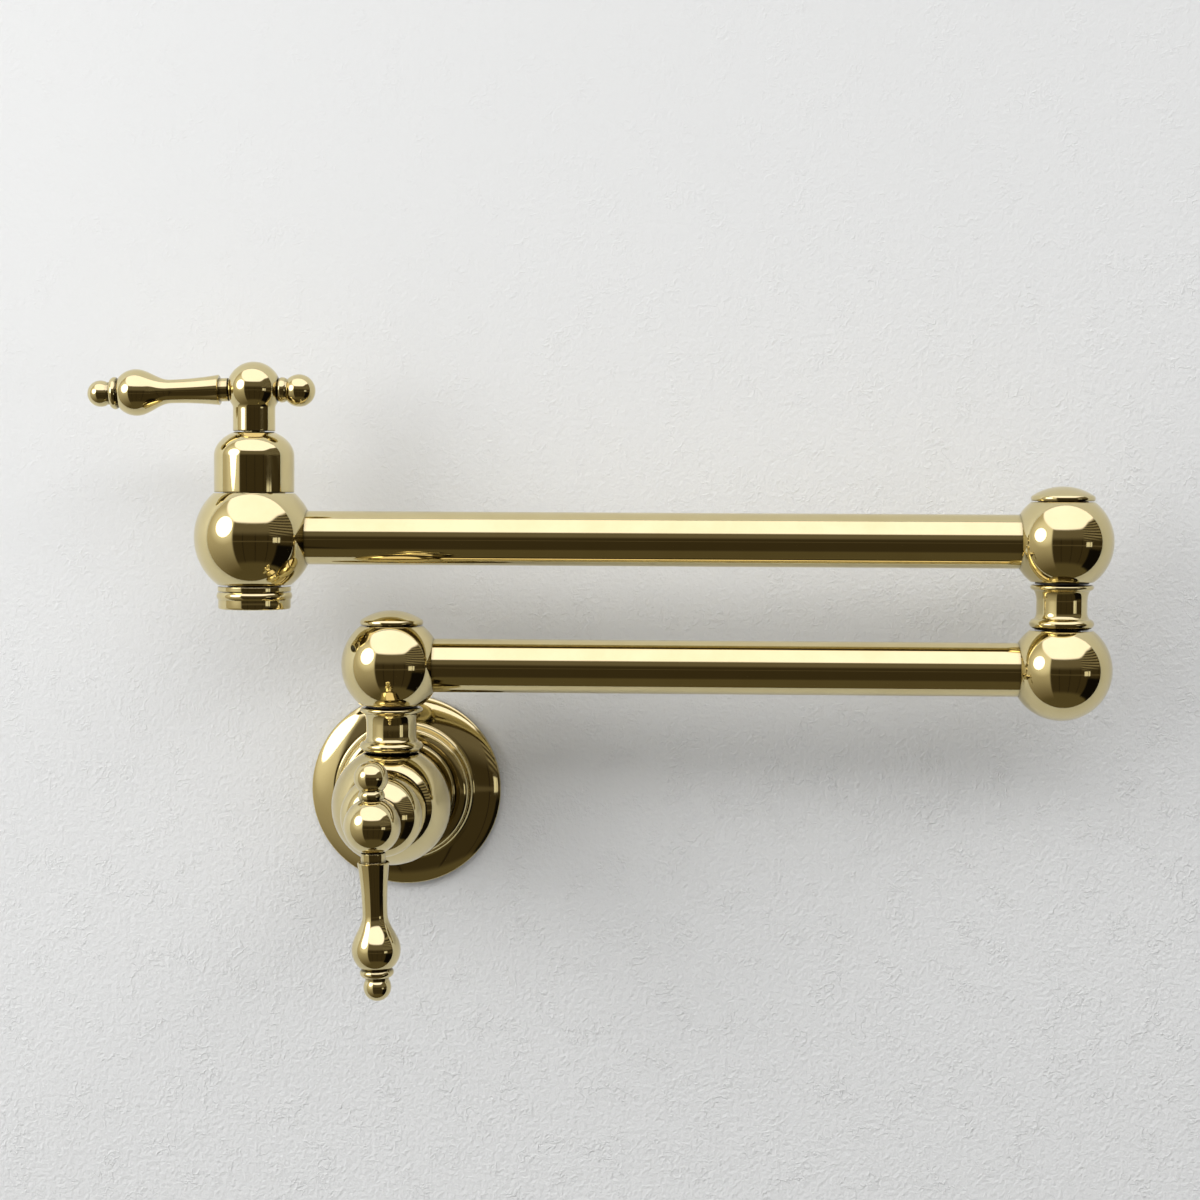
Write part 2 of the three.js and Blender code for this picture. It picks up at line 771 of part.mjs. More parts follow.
function flange() {
  const edgeInner = flangeRadius - flangeShell;
  const collarInner = collarRadius - flangeShell;
  const underside = gasketHeight + ringGap;
  const outline = [
    [flangeRadius, 0],
    ...quarter([flangeRadius, flangeEdge], [rimCrestRadius, rimCrestHeight], false, 4),
    ...smoothStep([rimCrestRadius, rimCrestHeight], [valleyRadius, valleyHeight], true, 2).slice(1),
    ...quarter(
      [valleyRadius, valleyHeight],
      [collarRadius, collarHeight - flangeShell],
      true,
      3,
    ).slice(1),
    ...quarter(
      [collarRadius, collarHeight - flangeShell],
      [collarLipRadius, collarHeight],
      false,
      2,
    ).slice(1),
    [flangeBore, collarFace],
    [flangeBore, collarBack],
    [collarInner, collarBack],
    [collarInner, underside],
    [edgeInner, underside],
    [edgeInner, 0],
  ];
  const grubHole = alongX(bar(grubRadius + ringGap, shankFootRadius, valleyRadius, pinSides));
  return cut(
    turned(outline, flangeSides),
    grubHole.rotateZ(Math.PI).translate(0, 0, grubHeight),
  );
}

function grubScrew() {
  const reach = collarRadius - slip;
  const screw = alongX(bar(grubRadius, shankFootRadius + ringGap, reach, pinSides));
  return screw.rotateZ(Math.PI).translate(0, 0, grubHeight);
}

function gasket() {
  const outer = flangeRadius - flangeShell - slip;
  return washer(outer - gasketWidth, outer, 0, gasketHeight, swivelSides);
}

function nipple() {
  const front = shankRecess + nippleSeat;
  const length = front + nippleBehindWall;
  return washer(nippleBore, nippleRadius, -nippleBehindWall, length, neckSides);
}

// ---- Outlet collar and aerator: height 0 is the outlet ball's centre ----

const plateTop = -collarSeat - spoutGroove;
const plateBottom = plateTop - collarPlateHeight;
const shellTop = plateBottom - ringGap;
const bandTop = shellTop - aeratorBulge;
const shellBottom = bandTop - aeratorBand;
const shellBore = aeratorBandRadius - aeratorWall;
const sleeveBottom = plateBottom - ringGap - collarSleeveHeight;

function outletCollar() {
  const outline = [
    [outletBore, sleeveBottom],
    [shellBore - slip, sleeveBottom],
    [shellBore - slip, plateBottom],
    [collarPlateRadius, plateBottom],
    [collarPlateRadius, plateTop],
    [collarTenonRadius, plateTop],
    [collarTenonRadius, -collarSeat + collarTenonLength],
    [outletBore, -collarSeat + collarTenonLength],
  ];
  return turned(outline, swivelSides);
}

function aeratorShell() {
  const lipRadius = shellBore - aeratorLip;
  const lipTop = shellBottom + aeratorLip;
  const outline = [
    [lipRadius, shellBottom],
    [aeratorBandRadius - aeratorRound, shellBottom],
    [aeratorBandRadius, shellBottom + aeratorRound],
    [aeratorBandRadius, bandTop],
    [aeratorRadius, bandTop + aeratorBulgeRound],
    [aeratorRadius, shellTop - aeratorBulgeRound],
    [aeratorBandRadius, shellTop],
    [shellBore, shellTop],
    [shellBore, lipTop],
    [lipRadius, lipTop],
  ];
  return turned(outline, swivelSides);
}

function aeratorDisc() {
  const bottom = shellBottom + aeratorLip + ringGap;
  const top = bottom + aeratorInsert;
  const jets = [bar(jetRadius, bottom - slip, top + slip, hexSides)];
  for (let i = 0; i < jetCount; i += 1) {
    const angle = (2 * Math.PI * i) / jetCount;
    const x = jetCircle * Math.cos(angle);
    const y = jetCircle * Math.sin(angle);
    jets.push(bar(jetRadius, bottom - slip, top + slip, hexSides).translate(x, y, 0));
  }
  return cut(bar(shellBore - slip, bottom, top, leverSides), ...jets);
}

function addOutlet(group) {
  add(group, "outlet_collar", outletCollar(), polishedBrass());
  add(group, "aerator_shell", aeratorShell(), polishedBrass());
  add(group, "aerator_insert", aeratorDisc(), nylon());
  const washerTop = sleeveBottom - ringGap;
  const seal = washer(
    outletBore,
    shellBore - slip,
    washerTop - aeratorWasher,
    aeratorWasher,
    leverSides,
  );
  add(group, "aerator_washer", seal, rubber());
}

// ---- Arm tubes ----

function armTube(from, to) {
  return alongX(washer(tubeRadius - tubeWall, tubeRadius, from, to - from, neckSides));
}

// ---- Assembly ----

// Everything that the wall holds.
function addWallSide(part) {
  const outward = groupAt(part, 0, 0, 0);
  outward.rotation.setFromRotationMatrix(
    new THREE.Matrix4().makeBasis(
      new THREE.Vector3(0, 0, 1),
      new THREE.Vector3(-1, 0, 0),
      new THREE.Vector3(0, -1, 0),
    ),
  );
  add(outward, "inlet_nipple", nipple(), rawBrass());
  add(outward, "flange_gasket", gasket(), rubber());
  add(outward, "wall_flange", flange(), polishedBrass());
  add(outward, "flange_grub_screw", grubScrew(), steel());
  const valve = groupAt(outward, 0, 0, armOffset);
  add(valve, "wall_valve_body", wallValveBody(), polishedBrass());
  addValve(valve, "wall", wallLeverLean);
  addNeck(groupAt(part, 0, -armOffset, neckSeat), "shoulder");
}

// The arm that turns on the shoulder neck. Its origin is the shoulder ball.
function addLowerArm(part) {
  const arm = groupAt(part, 0, -armOffset, shoulderRise);
  add(arm, "shoulder_ball", swivelBall(1), polishedBrass());
  add(arm, "shoulder_cap", swivelCap(), polishedBrass());
  const start = swivelSocket + slip;
  add(arm, "lower_arm_tube", armTube(start, lowerReach - start), polishedBrass());
  const elbow = groupAt(arm, lowerReach, 0, 0);
  add(elbow, "elbow_lower_ball", elbowLowerBall(), polishedBrass());
  addNeck(groupAt(elbow, 0, 0, swivelFlat), "elbow");
}

// The arm that turns on the elbow neck. Its origin is the elbow's upper ball.
function addUpperArm(part) {
  const arm = groupAt(part, lowerReach, -armOffset, shoulderRise + elbowRise);
  add(arm, "elbow_upper_ball", swivelBall(-1), polishedBrass());
  add(arm, "elbow_cap", swivelCap(), polishedBrass());
  const tubeEnd = -swivelSocket - slip;
  const tubeStart = -upperReach + valveSocket + slip;
  add(arm, "upper_arm_tube", armTube(tubeStart, tubeEnd), polishedBrass());
  const outlet = groupAt(arm, -upperReach, 0, 0);
  add(outlet, "outlet_ball", outletBall(), polishedBrass());
  addOutlet(outlet);
  addValve(outlet, "spout", 0);
}

const potFiller = new THREE.Group();
addWallSide(potFiller);
addLowerArm(potFiller);
addUpperArm(potFiller);

export default potFiller;
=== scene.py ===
"""Dresses the wall mounted pot filler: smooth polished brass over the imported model.

Sizes are in millimetres and are turned into metres when a mesh is made. The origin is the
centre of the flange's back face, +Y points into the wall and +Z up.
"""

import json
import math

import bmesh
import bpy
from mathutils import Matrix, Vector


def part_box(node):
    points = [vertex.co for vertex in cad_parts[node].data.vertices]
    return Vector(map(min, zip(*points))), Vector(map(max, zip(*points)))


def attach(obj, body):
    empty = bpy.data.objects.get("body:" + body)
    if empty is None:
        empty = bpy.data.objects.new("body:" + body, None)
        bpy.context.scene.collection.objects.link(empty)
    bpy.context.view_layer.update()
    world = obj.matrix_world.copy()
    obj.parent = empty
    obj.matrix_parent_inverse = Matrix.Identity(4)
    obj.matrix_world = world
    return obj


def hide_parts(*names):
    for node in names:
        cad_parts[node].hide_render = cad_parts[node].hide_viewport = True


bl_info = {
    "name": "Wall mounted pot filler",
    "version": (1, 0, 0),
    "blender": (4, 5, 0),
    "location": "View3D > Sidebar > Pot filler",
    "description": "Builds the brass pieces of a folding pot filler, its wall and its light",
    "category": "Object",
}

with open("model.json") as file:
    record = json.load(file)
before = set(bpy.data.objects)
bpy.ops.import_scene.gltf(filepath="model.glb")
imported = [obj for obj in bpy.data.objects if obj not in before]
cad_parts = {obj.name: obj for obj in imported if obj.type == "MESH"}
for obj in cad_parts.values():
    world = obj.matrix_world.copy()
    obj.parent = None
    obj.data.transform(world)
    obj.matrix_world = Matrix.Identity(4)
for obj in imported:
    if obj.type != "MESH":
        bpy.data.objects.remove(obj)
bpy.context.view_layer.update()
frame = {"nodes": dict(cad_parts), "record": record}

MM = 0.001

# ---- Places and main sizes, read from the frame ----


def span(node, axis):
    """Lowest and highest place of a node along an axis, in millimetres."""
    low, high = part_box(node)
    return low["XYZ".index(axis)] / MM, high["XYZ".index(axis)] / MM


def middle(node, axis):
    """Middle of a node along an axis."""
    low, high = span(node, axis)
    return (low + high) / 2


def width(node, axis):
    """Size of a node along an axis."""
    low, high = span(node, axis)
    return high - low


def chord(radius, reach):
    """Distance from a circle's centre to a chord of half length `reach`."""
    return math.sqrt(radius**2 - reach**2)


ARM_Y = middle("lower_arm_tube", "Y")
SHOULDER_Z = middle("lower_arm_tube", "Z")
ELBOW_X = middle("elbow_neck", "X")
ELBOW_Z = middle("upper_arm_tube", "Z")
OUTLET_X = middle("spout_bonnet", "X")

FLANGE_RADIUS = width("wall_flange", "X") / 2
COLLAR_FRONT = width("wall_flange", "Y")
SHANK_END = ARM_Y - span("wall_valve_body", "Y")[1]
NIPPLE_RADIUS = width("inlet_nipple", "X") / 2
GASKET_RADIUS = width("flange_gasket", "X") / 2
GASKET_HEIGHT = width("flange_gasket", "Y")

TUBE_RADIUS = width("lower_arm_tube", "Z") / 2
SWIVEL_RADIUS = width("shoulder_ball", "Y") / 2
SWIVEL_FLAT = width("shoulder_ball", "Z") / 2
CAP_RADIUS = width("shoulder_cap", "X") / 2
CAP_TOP = span("shoulder_cap", "Z")[1] - SHOULDER_Z
CAP_PLUG = span("shoulder_cap", "Z")[0] - SHOULDER_Z

NECK_BEAD_RADIUS = width("shoulder_neck", "X") / 2
SPIGOT_TOP = span("elbow_neck", "Z")[1] - SHOULDER_Z - SWIVEL_FLAT

VALVE_RADIUS = width("outlet_ball", "Y") / 2
BONNET_SEAT = span("outlet_ball", "Z")[1] - ELBOW_Z
COLLAR_SEAT = ELBOW_Z - span("outlet_ball", "Z")[0]
BONNET_RADIUS = width("spout_bonnet", "X") / 2
BONNET_BASE = span("spout_bonnet", "Z")[0] - ELBOW_Z
BONNET_TOP = span("spout_bonnet", "Z")[1] - ELBOW_Z

HUB_RADIUS = width("spout_hub", "Y") / 2
HANDLE_REACH = span("spout_hub", "Z")[1] - HUB_RADIUS - ELBOW_Z
HUB_BASE = span("spout_hub", "Z")[0] - ELBOW_Z
FINIAL_RADIUS = width("spout_finial", "Y") / 2

PLATE_RADIUS = width("outlet_collar", "X") / 2
AERATOR_RADIUS = width("aerator_shell", "X") / 2
AERATOR_TOP = span("aerator_shell", "Z")[1] - ELBOW_Z
AERATOR_BOTTOM = span("aerator_shell", "Z")[0] - ELBOW_Z
INSERT_BOTTOM = span("aerator_insert", "Z")[0] - ELBOW_Z
INSERT_TOP = span("aerator_insert", "Z")[1] - ELBOW_Z

# ---- Turned details ----

SLIP = 0.3  # gap that shows as a parting line between two pieces
EDGE = 0.3  # how far a turned edge is broken
SOFT = 0.7  # a softer edge, worn by polishing
STEP = 0.2  # the smallest turned step
SOCKET_CLEAR = 0.06  # how much wider a tube's socket is than the tube
TENON_CLEAR = 0.1  # how much wider a tenon's hole is than the tenon
CUT_OVER = 1  # how far a cutting tool reaches past the surface
SEAT_OVER = 2  # the same for the wide seats of the tubes and of a neck

# Corners of a turned circle, and steps along a ball's outline
FINE_SIDES = 128
SHINE_SIDES = 96
SMALL_SIDES = 64
PORT_SIDES = 32
SCREW_SIDES = 24
JET_SIDES = 20
HEXAGON = 6
BALL_STEPS = 36

WALL_LEVER_LEAN = math.radians(1.6)  # the lever hangs a little off plumb in the photo
HANDLE_TURN = math.radians(92)  # lever and finial drop a little towards the valve ball

NECK_GROOVE = 0.8
NECK_BEAD_HEIGHT = 3.4
NECK_BEAD_LIP = 10.8
NECK_COVE = 2.6
NECK_WAIST_RADIUS = 9.35
NECK_FLARE = 4.2
NECK_LIP_RADIUS = 11.7
NECK_LIP_HEIGHT = 2
NECK_LIP_ROUND = 0.7
NECK_HEIGHT = 16.2
NECK_SEAT_RADIUS = 10.3
NECK_BORE = 4.2
NECK_TENON_LENGTH = 6.5
SWIVEL_GAP = 1
TENON_RADIUS = 6.9
SPIGOT_RADIUS = 7.6
SPIGOT_SCREW_BORE = 3.1
SPIGOT_WINDOW = 2.6
RING_INSET = 2
RING_HALF = 1.1
RING_DEPTH = 1.4
LAND_RADIUS = 8
CHAMBER_RADIUS = 11
CHAMBER_HALF = 5.5
LEDGE = 9.5
CAP_BORE = 9.6
CAP_EDGE = 1.9
PORT_RADIUS = 5
TUBE_WALL = 1.5
TUBE_SEAT = 3.6

DISH_RADIUS = 28
DISH_HEIGHT = 6.9
DISH_OVER = 1  # how far the dish's ellipse would reach past the rim
DISH_RISE = 8.2
COLLAR_RADIUS = 25.3
COLLAR_LIP_RADIUS = 21.8
COLLAR_DROP = 0.4
COLLAR_SHOULDER = 2.3
COLLAR_BORE_DEPTH = 6
SHANK_FOOT_RADIUS = 20.3
SHANK_RADIUS = 17.5
SHANK_FOOT = 9.7
SHANK_COVE = 11
GASKET_WIDTH = 6
NIPPLE_SEAT = 17
GRUB_RADIUS = 1.5
GRUB_SOCKET = 0.75
GRUB_SOCKET_DEPTH = 1.4

BONNET_SKIRT = 13.6
DOME_RISE = 10.3
BONNET_WALL = 2.4
BONNET_HOLE = 4.5
SLEEVE_RADIUS = 7.85
STEM_BORE = 4.2
HUB_BORE_OVER = 1
GLAND_BORE = 11.9
CARTRIDGE_BORE = 9.6
SEAT_DEPTH = 10
WATERWAY = 5.6

COLLAR_TENON_RADIUS = 10
COLLAR_TENON_LENGTH = 3.8
OUTLET_BORE = 8
SPOUT_GROOVE = 0.6
PLATE_HEIGHT = 1.9
AERATOR_BULGE = 2.9
AERATOR_BAND_RADIUS = 13.5
AERATOR_WALL = 2.1
AERATOR_LIP = 1.2
AERATOR_ROUND = 0.9
JET_RADIUS = 1.3
JET_CIRCLE = 6.6
JET_COUNT = 6


def stretch(wide, tall, centre, start, end, steps):
    """Points of an ellipse about [0, centre], between two heights."""
    def angle(height):
        return math.asin(max(-1, min(1, (height - centre) / tall)))

    first = angle(start)
    turn = (angle(end) - first) / steps
    return [
        (wide * math.cos(first + i * turn), centre + tall * math.sin(first + i * turn))
        for i in range(steps + 1)
    ]


def part_way(corner, other, across, along):
    """The point at these shares of the radius and of the height between two corners."""
    radius = corner[0] + (other[0] - corner[0]) * across
    height = corner[1] + (other[1] - corner[1]) * along
    return radius, height


def ball_part(radius, centre, start, end, steps):
    """Points of a ball's skin between two heights."""
    return stretch(radius, radius, centre, start, end, steps)


def quarter(corner, other, along_radius, steps=8):
    """Points of a quarter ellipse between two corners of an outline."""
    made = []
    for i in range(steps + 1):
        angle = math.pi / 2 * i / steps
        early, late = math.sin(angle), 1 - math.cos(angle)
        shares = (early, late) if along_radius else (late, early)
        made.append(part_way(corner, other, *shares))
    return made


def swell(low, high, steps):
    """Points of an S-shaped swelling between two points of an outline."""
    made = []
    for i in range(steps + 1):
        share = i / steps
        eased = (1 - math.cos(math.pi * share)) / 2
        made.append(part_way(low, high, eased, share))
    return made


def bead(low, high, bulge, steps=8):
    """Points of a rounded bead between two points of an outline, standing out by `bulge`."""
    made = []
    for i in range(steps + 1):
        share = i / steps
        radius, height = part_way(low, high, share, share)
        made.append((radius + bulge * 4 * share * (1 - share), height))
    return made


# ---- Meshes ----

ROUNDING_STEPS = 4
MOST_EASE = 0.4  # the largest share of a side that a rounded corner takes up
SUPPORT = 0.6  # distance of a holding line from a rounded edge, in edge lengths
SUPPORT_FROM = 4  # edge lengths that a side has before it gets a holding line


def softened(corners, closed):
    """The outline with its corners rounded where a third value asks for it."""
    points = []
    count = len(corners)
    for i, corner in enumerate(corners):
        here = Vector(corner[:2])
        ease = corner[2] if len(corner) > 2 else 0
        inner = closed or 0 < i < count - 1
        if not ease or not inner:
            points.append(here)
            continue
        before = Vector(corners[i - 1][:2]) - here
        after = Vector(corners[(i + 1) % count][:2]) - here
        reach_before = min(ease, before.length * MOST_EASE)
        reach_after = min(ease, after.length * MOST_EASE)
        start = here + before.normalized() * reach_before
        end = here + after.normalized() * reach_after
        if before.length > SUPPORT_FROM * reach_before:
            points.append(start + before.normalized() * reach_before * SUPPORT)
        for step in range(ROUNDING_STEPS + 1):
            t = step / ROUNDING_STEPS
            points.append(start * (1 - t) ** 2 + here * 2 * t * (1 - t) + end * t**2)
        if after.length > SUPPORT_FROM * reach_after:
            points.append(end + after.normalized() * reach_after * SUPPORT)
    return points


def turned_mesh(corners, sides):
    """A bmesh, in metres, of an outline turned about +Z. It closes on itself off the axis."""
    closed = corners[0][0] > SLIP * MM
    outline = softened(corners, closed)
    made = bmesh.new()
    rings = []
    for point in outline:
        radius, height = point.x * MM, point.y * MM
        if radius < MM * MM:
            rings.append([made.verts.new((0, 0, height))])
            continue
        rings.append([
            made.verts.new((
                radius * math.cos(2 * math.pi * i / sides),
                radius * math.sin(2 * math.pi * i / sides),
                height,
            ))
            for i in range(sides)
        ])
    pairs = list(zip(rings, rings[1:]))
    if closed:
        pairs.append((rings[-1], rings[0]))
    for low, high in pairs:
        for i in range(sides):
            j = (i + 1) % sides
            if len(low) > 1 and len(high) > 1:
                made.faces.new((low[i], low[j], high[j], high[i]))
            elif len(low) > 1:
                made.faces.new((low[i], low[j], high[0]))
            elif len(high) > 1:
                made.faces.new((low[0], high[j], high[i]))
    bmesh.ops.remove_doubles(made, verts=made.verts, dist=MM * MM)
    bmesh.ops.recalc_face_normals(made, faces=made.faces)
    return made


SHARP = math.radians(28)
SKIN_DEPTH = 0.02  # how near a point is to a ball's true skin to count as on it
SKIN_FACING = 0.97  # cosine of the angle within which a face looks straight outwards


def finished(name, made, place):
    """Turns a bmesh into a smooth object at its place."""
    mesh = bpy.data.meshes.new(name)
    made.to_mesh(mesh)
    made.free()
    mesh.shade_smooth()
    mesh.set_sharp_from_angle(angle=SHARP)
    piece = bpy.data.objects.new(name, mesh)
    bpy.context.scene.collection.objects.link(piece)
    piece.matrix_world = place
    return piece


def turned(name, corners, place, sides=SHINE_SIDES):
    """A piece turned from an outline of [radius, height] corners, at its place."""
    return finished(name, turned_mesh(corners, sides), place)


def drilled(piece, *tools):
    """Cuts tool objects out of a piece, removes the tools and shades the piece smooth again."""
    for tool in tools:
        cutter = piece.modifiers.new("cut", "BOOLEAN")
        cutter.operation = "DIFFERENCE"
        cutter.solver = "EXACT"
        cutter.object = tool
    bpy.context.view_layer.update()
    evaluated = piece.evaluated_get(bpy.context.evaluated_depsgraph_get())
    cut = bpy.data.meshes.new_from_object(evaluated)
    piece.modifiers.clear()
    old = piece.data
    name = old.name
    piece.data = cut
    bpy.data.meshes.remove(old)
    cut.name = name
    for tool in tools:
        mesh = tool.data
        bpy.data.objects.remove(tool)
        bpy.data.meshes.remove(mesh)
    cut.shade_smooth()
    cut.set_sharp_from_angle(angle=SHARP)
    return piece


def true_ball_normals(piece, centre, radius):
    """Points each corner normal on a ball's skin straight away from its centre."""
    mesh = piece.data
    middle_point = Vector((0, 0, centre * MM))
    normals = [Vector(corner.vector) for corner in mesh.corner_normals]
    for face in mesh.polygons:
        for index in face.loop_indices:
            arm = mesh.vertices[mesh.loops[index].vertex_index].co - middle_point
            outward = arm.normalized()
            on_skin = abs(arm.length - radius * MM) < SKIN_DEPTH * MM
            if on_skin and face.normal.dot(outward) > SKIN_FACING:
                normals[index] = outward
    mesh.normals_split_custom_set(normals)
    return piece


def bar(radius, start, end, place, sides=SHINE_SIDES):
    """A round cutting tool from `start` to `end` along its own +Z."""
    return turned("tool", [(0, start), (radius, start), (radius, end), (0, end)], place, sides)


# ---- Places ----


def at(x, y, z):
    """A place given in millimetres."""
    return Matrix.Translation(Vector((x, y, z)) * MM)


LYING_X = Matrix.Rotation(math.pi / 2, 4, "Y")
LYING_MINUS_X = Matrix.Rotation(-math.pi / 2, 4, "Y")
OUT_OF_WALL = Matrix((
    (0, -1, 0, 0),
    (0, 0, -1, 0),
    (1, 0, 0, 0),
    (0, 0, 0, 1),
))

WALL_VALVE = at(0, ARM_Y, 0) @ OUT_OF_WALL
WALL_HANDLE = WALL_VALVE @ Matrix.Rotation(WALL_LEVER_LEAN, 4, "Z")
SPOUT_VALVE = at(OUTLET_X, ARM_Y, ELBOW_Z)
SHOULDER = at(0, ARM_Y, SHOULDER_Z)
ELBOW_LOW = at(ELBOW_X, ARM_Y, SHOULDER_Z)
ELBOW_HIGH = at(ELBOW_X, ARM_Y, ELBOW_Z)

# ---- Shader graphs ----


class Wire:
    """An output of a shader node that takes part in sums as a number does."""

    def __init__(self, graph, socket):
        self.graph = graph
        self.socket = socket

    def __add__(self, other):
        return self.graph.maths("ADD", self, other)

    def __radd__(self, other):
        return self.graph.maths("ADD", other, self)

    def __sub__(self, other):
        return self.graph.maths("SUBTRACT", self, other)

    def __rsub__(self, other):
        return self.graph.maths("SUBTRACT", other, self)

    def __mul__(self, other):
        return self.graph.maths("MULTIPLY", self, other)

    def __rmul__(self, other):
        return self.graph.maths("MULTIPLY", other, self)

    def __neg__(self):
        return self.graph.maths("MULTIPLY", self, -1)

    def smooth(self, low, high):
        """0 up to `low`, 1 from `high` on and a smooth rise between them."""
        settings = {"interpolation_type": "SMOOTHSTEP"}
        inputs = {"Value": self, "From Min": low, "From Max": high}
        return self.graph.node("ShaderNodeMapRange", settings, inputs, "Result")

    def between(self, low, high, soft):
        """1 between `low` and `high`, with edges that fade over `soft` on both sides."""
        return self.smooth(low - soft, low + soft) * (1 - self.smooth(high - soft, high + soft))


class Graph:
    """A node tree that is written as expressions."""

    def __init__(self, tree):
        self.tree = tree
        tree.nodes.clear()

    def node(self, kind, settings=None, inputs=None, output=0):
        """Adds a node, sets it, feeds its sockets and gives back one of its outputs."""
        made = self.tree.nodes.new(kind)
        for name, value in (settings or {}).items():
            setattr(made, name, value)
        for name, value in (inputs or {}).items():
            self.feed(made.inputs[name], value)
        return Wire(self, made.outputs[output])

    def feed(self, socket, value):
        if isinstance(value, Wire):
            self.tree.links.new(value.socket, socket)
        else:
            socket.default_value = value

    def maths(self, operation, first, second=0):
        return self.node("ShaderNodeMath", {"operation": operation}, {0: first, 1: second})

    def blend(self, share, first, second):
        """A colour between two colours, each a wire or three numbers."""
        inputs = {"Factor": share, 6: rgba(first), 7: rgba(second)}
        return self.node("ShaderNodeMix", {"data_type": "RGBA"}, inputs, 2)

    def noise(self, vector, per_metre, detail, roughness):
        """Even noise about 0.5, with its largest spots 1 / `per_metre` wide."""
        inputs = {"Vector": vector, "Scale": per_metre, "Detail": detail, "Roughness": roughness}
        return self.node("ShaderNodeTexNoise", None, inputs)

    def part_of(self, vector, axis):
        """The X, Y or Z of a vector."""
        return self.node("ShaderNodeSeparateXYZ", None, {"Vector": vector}, axis)

    def place(self):
        """Where a point is on its own piece, in metres."""
        return self.node("ShaderNodeTexCoord", output="Object")

    def openness(self, reach):
        """0 deep in a narrow joint and 1 in the open, by what lies within `reach` metres."""
        return self.node("ShaderNodeAmbientOcclusion", {"samples": 6}, {"Distance": reach}, "AO")

    def scaled(self, vector, x, y, z):
        settings = {"operation": "MULTIPLY"}
        return self.node("ShaderNodeVectorMath", settings, {0: vector, 1: (x, y, z)})

    def bump(self, height, strength, distance):
        inputs = {"Height": height, "Strength": strength, "Distance": distance}
        return self.node("ShaderNodeBump", None, inputs)

    def mixed(self, share, first, second):
        """A shader between two shaders."""
        return self.node("ShaderNodeMixShader", None, {"Fac": share, 1: first, 2: second})

    def surface(self, shader, kind="ShaderNodeOutputMaterial"):
        """Ends the tree in a shader."""
        out = self.tree.nodes.new(kind)
        self.tree.links.new(shader.socket, out.inputs["Surface"])


def material(name, build):
    """A new material whose nodes `build` adds."""
    made = bpy.data.materials.new(name)
    made.use_nodes = True
    build(Graph(made.node_tree))
    return made


def rgba(colour):
    return colour if isinstance(colour, Wire) else (*colour, 1.0)


def skin(graph, colour, metallic, roughness, relief):
    """A surface of one colour, gloss and relief. The relief's wire comes from `bump`."""
    return graph.node("ShaderNodeBsdfPrincipled", None, {
        "Base Color": colour,
        "Metallic": metallic,
        "Roughness": roughness,
        "Normal": relief,
    })


# ---- Finishes ----

RUBBER, RUBBER_BLOOM = (0.022, 0.022, 0.023), (0.06, 0.058, 0.055)
NYLON, NYLON_FLOW = (0.024, 0.021, 0.018), (0.05, 0.043, 0.036)
CERAMIC, CERAMIC_SPECK = (0.84, 0.83, 0.79), (0.7, 0.68, 0.63)
STEEL, STEEL_STAIN = (0.6, 0.6, 0.61), (0.5, 0.5, 0.5)
JOINT_REACH = 0.0016  # how near another surface is, in metres, for a joint to take painted shade

# Each noise below gives its spots per metre, its detail and its roughness, and each bump its
# strength and its height in metres.


def polished_brass(graph):
    """Mirror-polished brass with a faint haze, wiping marks, tiny pits and painted shade in its
    joints.
    """
    finish = bpy.context.scene.pot_filler_finish
    place = graph.place()
    haze = graph.noise(place, 45, 4, 0.6)
    wiped = graph.noise(graph.scaled(place, 1, 1, 0.12), 900, 3, 0.65)
    pits = graph.noise(place, 2600, 2, 0.5)
    clean = graph.blend(haze.smooth(0.3, 0.75), finish.brass, finish.brass_shade)
    # Painted shade: the brass goes dark wherever another surface lies close, in joints, creases
    # and under caps.
    joint = graph.openness(JOINT_REACH).smooth(0.55, 0.95)
    colour = graph.blend(joint, finish.joint_painted_shade, clean)
    rough = finish.brass_roughness + haze.smooth(0.4, 0.75) * 0.03 + wiped * 0.015
    relief = wiped * 0.35 + pits.smooth(0.62, 0.78) * 0.65
    graph.surface(skin(graph, colour, 1, rough, graph.bump(relief, 0.02, 0.00002)))


def machined_brass(graph):
    """Brass as it leaves the lathe, with fine turning lines."""
    finish = bpy.context.scene.pot_filler_finish
    place = graph.place()
    lines = graph.noise(graph.scaled(place, 0.02, 0.02, 1), 5200, 2, 0.5)
    stain = graph.noise(place, 160, 4, 0.6)
    colour = graph.blend(stain.smooth(0.35, 0.7), finish.raw_brass, finish.brass_shade)
    rough = 0.3 + lines * 0.12
    graph.surface(skin(graph, colour, 1, rough, graph.bump(lines, 0.25, 0.00003)))


def black_rubber(graph):
    """Moulded nitrile rubber with a dusty bloom."""
    place = graph.place()
    bloom = graph.noise(place, 380, 4, 0.6)
    grain = graph.noise(place, 4200, 2, 0.5)
    colour = graph.blend(bloom.smooth(0.4, 0.8), RUBBER, RUBBER_BLOOM)
    rough = 0.62 + bloom * 0.2
    graph.surface(skin(graph, colour, 0, rough, graph.bump(grain, 0.3, 0.00004)))


def dark_nylon(graph):
    """Moulded dark nylon with a slight flow pattern."""
    place = graph.place()
    flow = graph.noise(place, 240, 4, 0.6)
    grain = graph.noise(place, 3000, 2, 0.5)
    colour = graph.blend(flow.smooth(0.35, 0.7), NYLON, NYLON_FLOW)
    rough = 0.38 + flow * 0.18
    graph.surface(skin(graph, colour, 0, rough, graph.bump(grain, 0.2, 0.00003)))


def white_ceramic(graph):
    """Lapped alumina: white, dense and barely speckled."""
    speck = graph.noise(graph.place(), 2400, 2, 0.5)
    colour = graph.blend(speck.smooth(0.6, 0.75), CERAMIC, CERAMIC_SPECK)
    rough = 0.16 + speck * 0.1
    graph.surface(skin(graph, colour, 0, rough, graph.bump(speck, 0.05, 0.00001)))


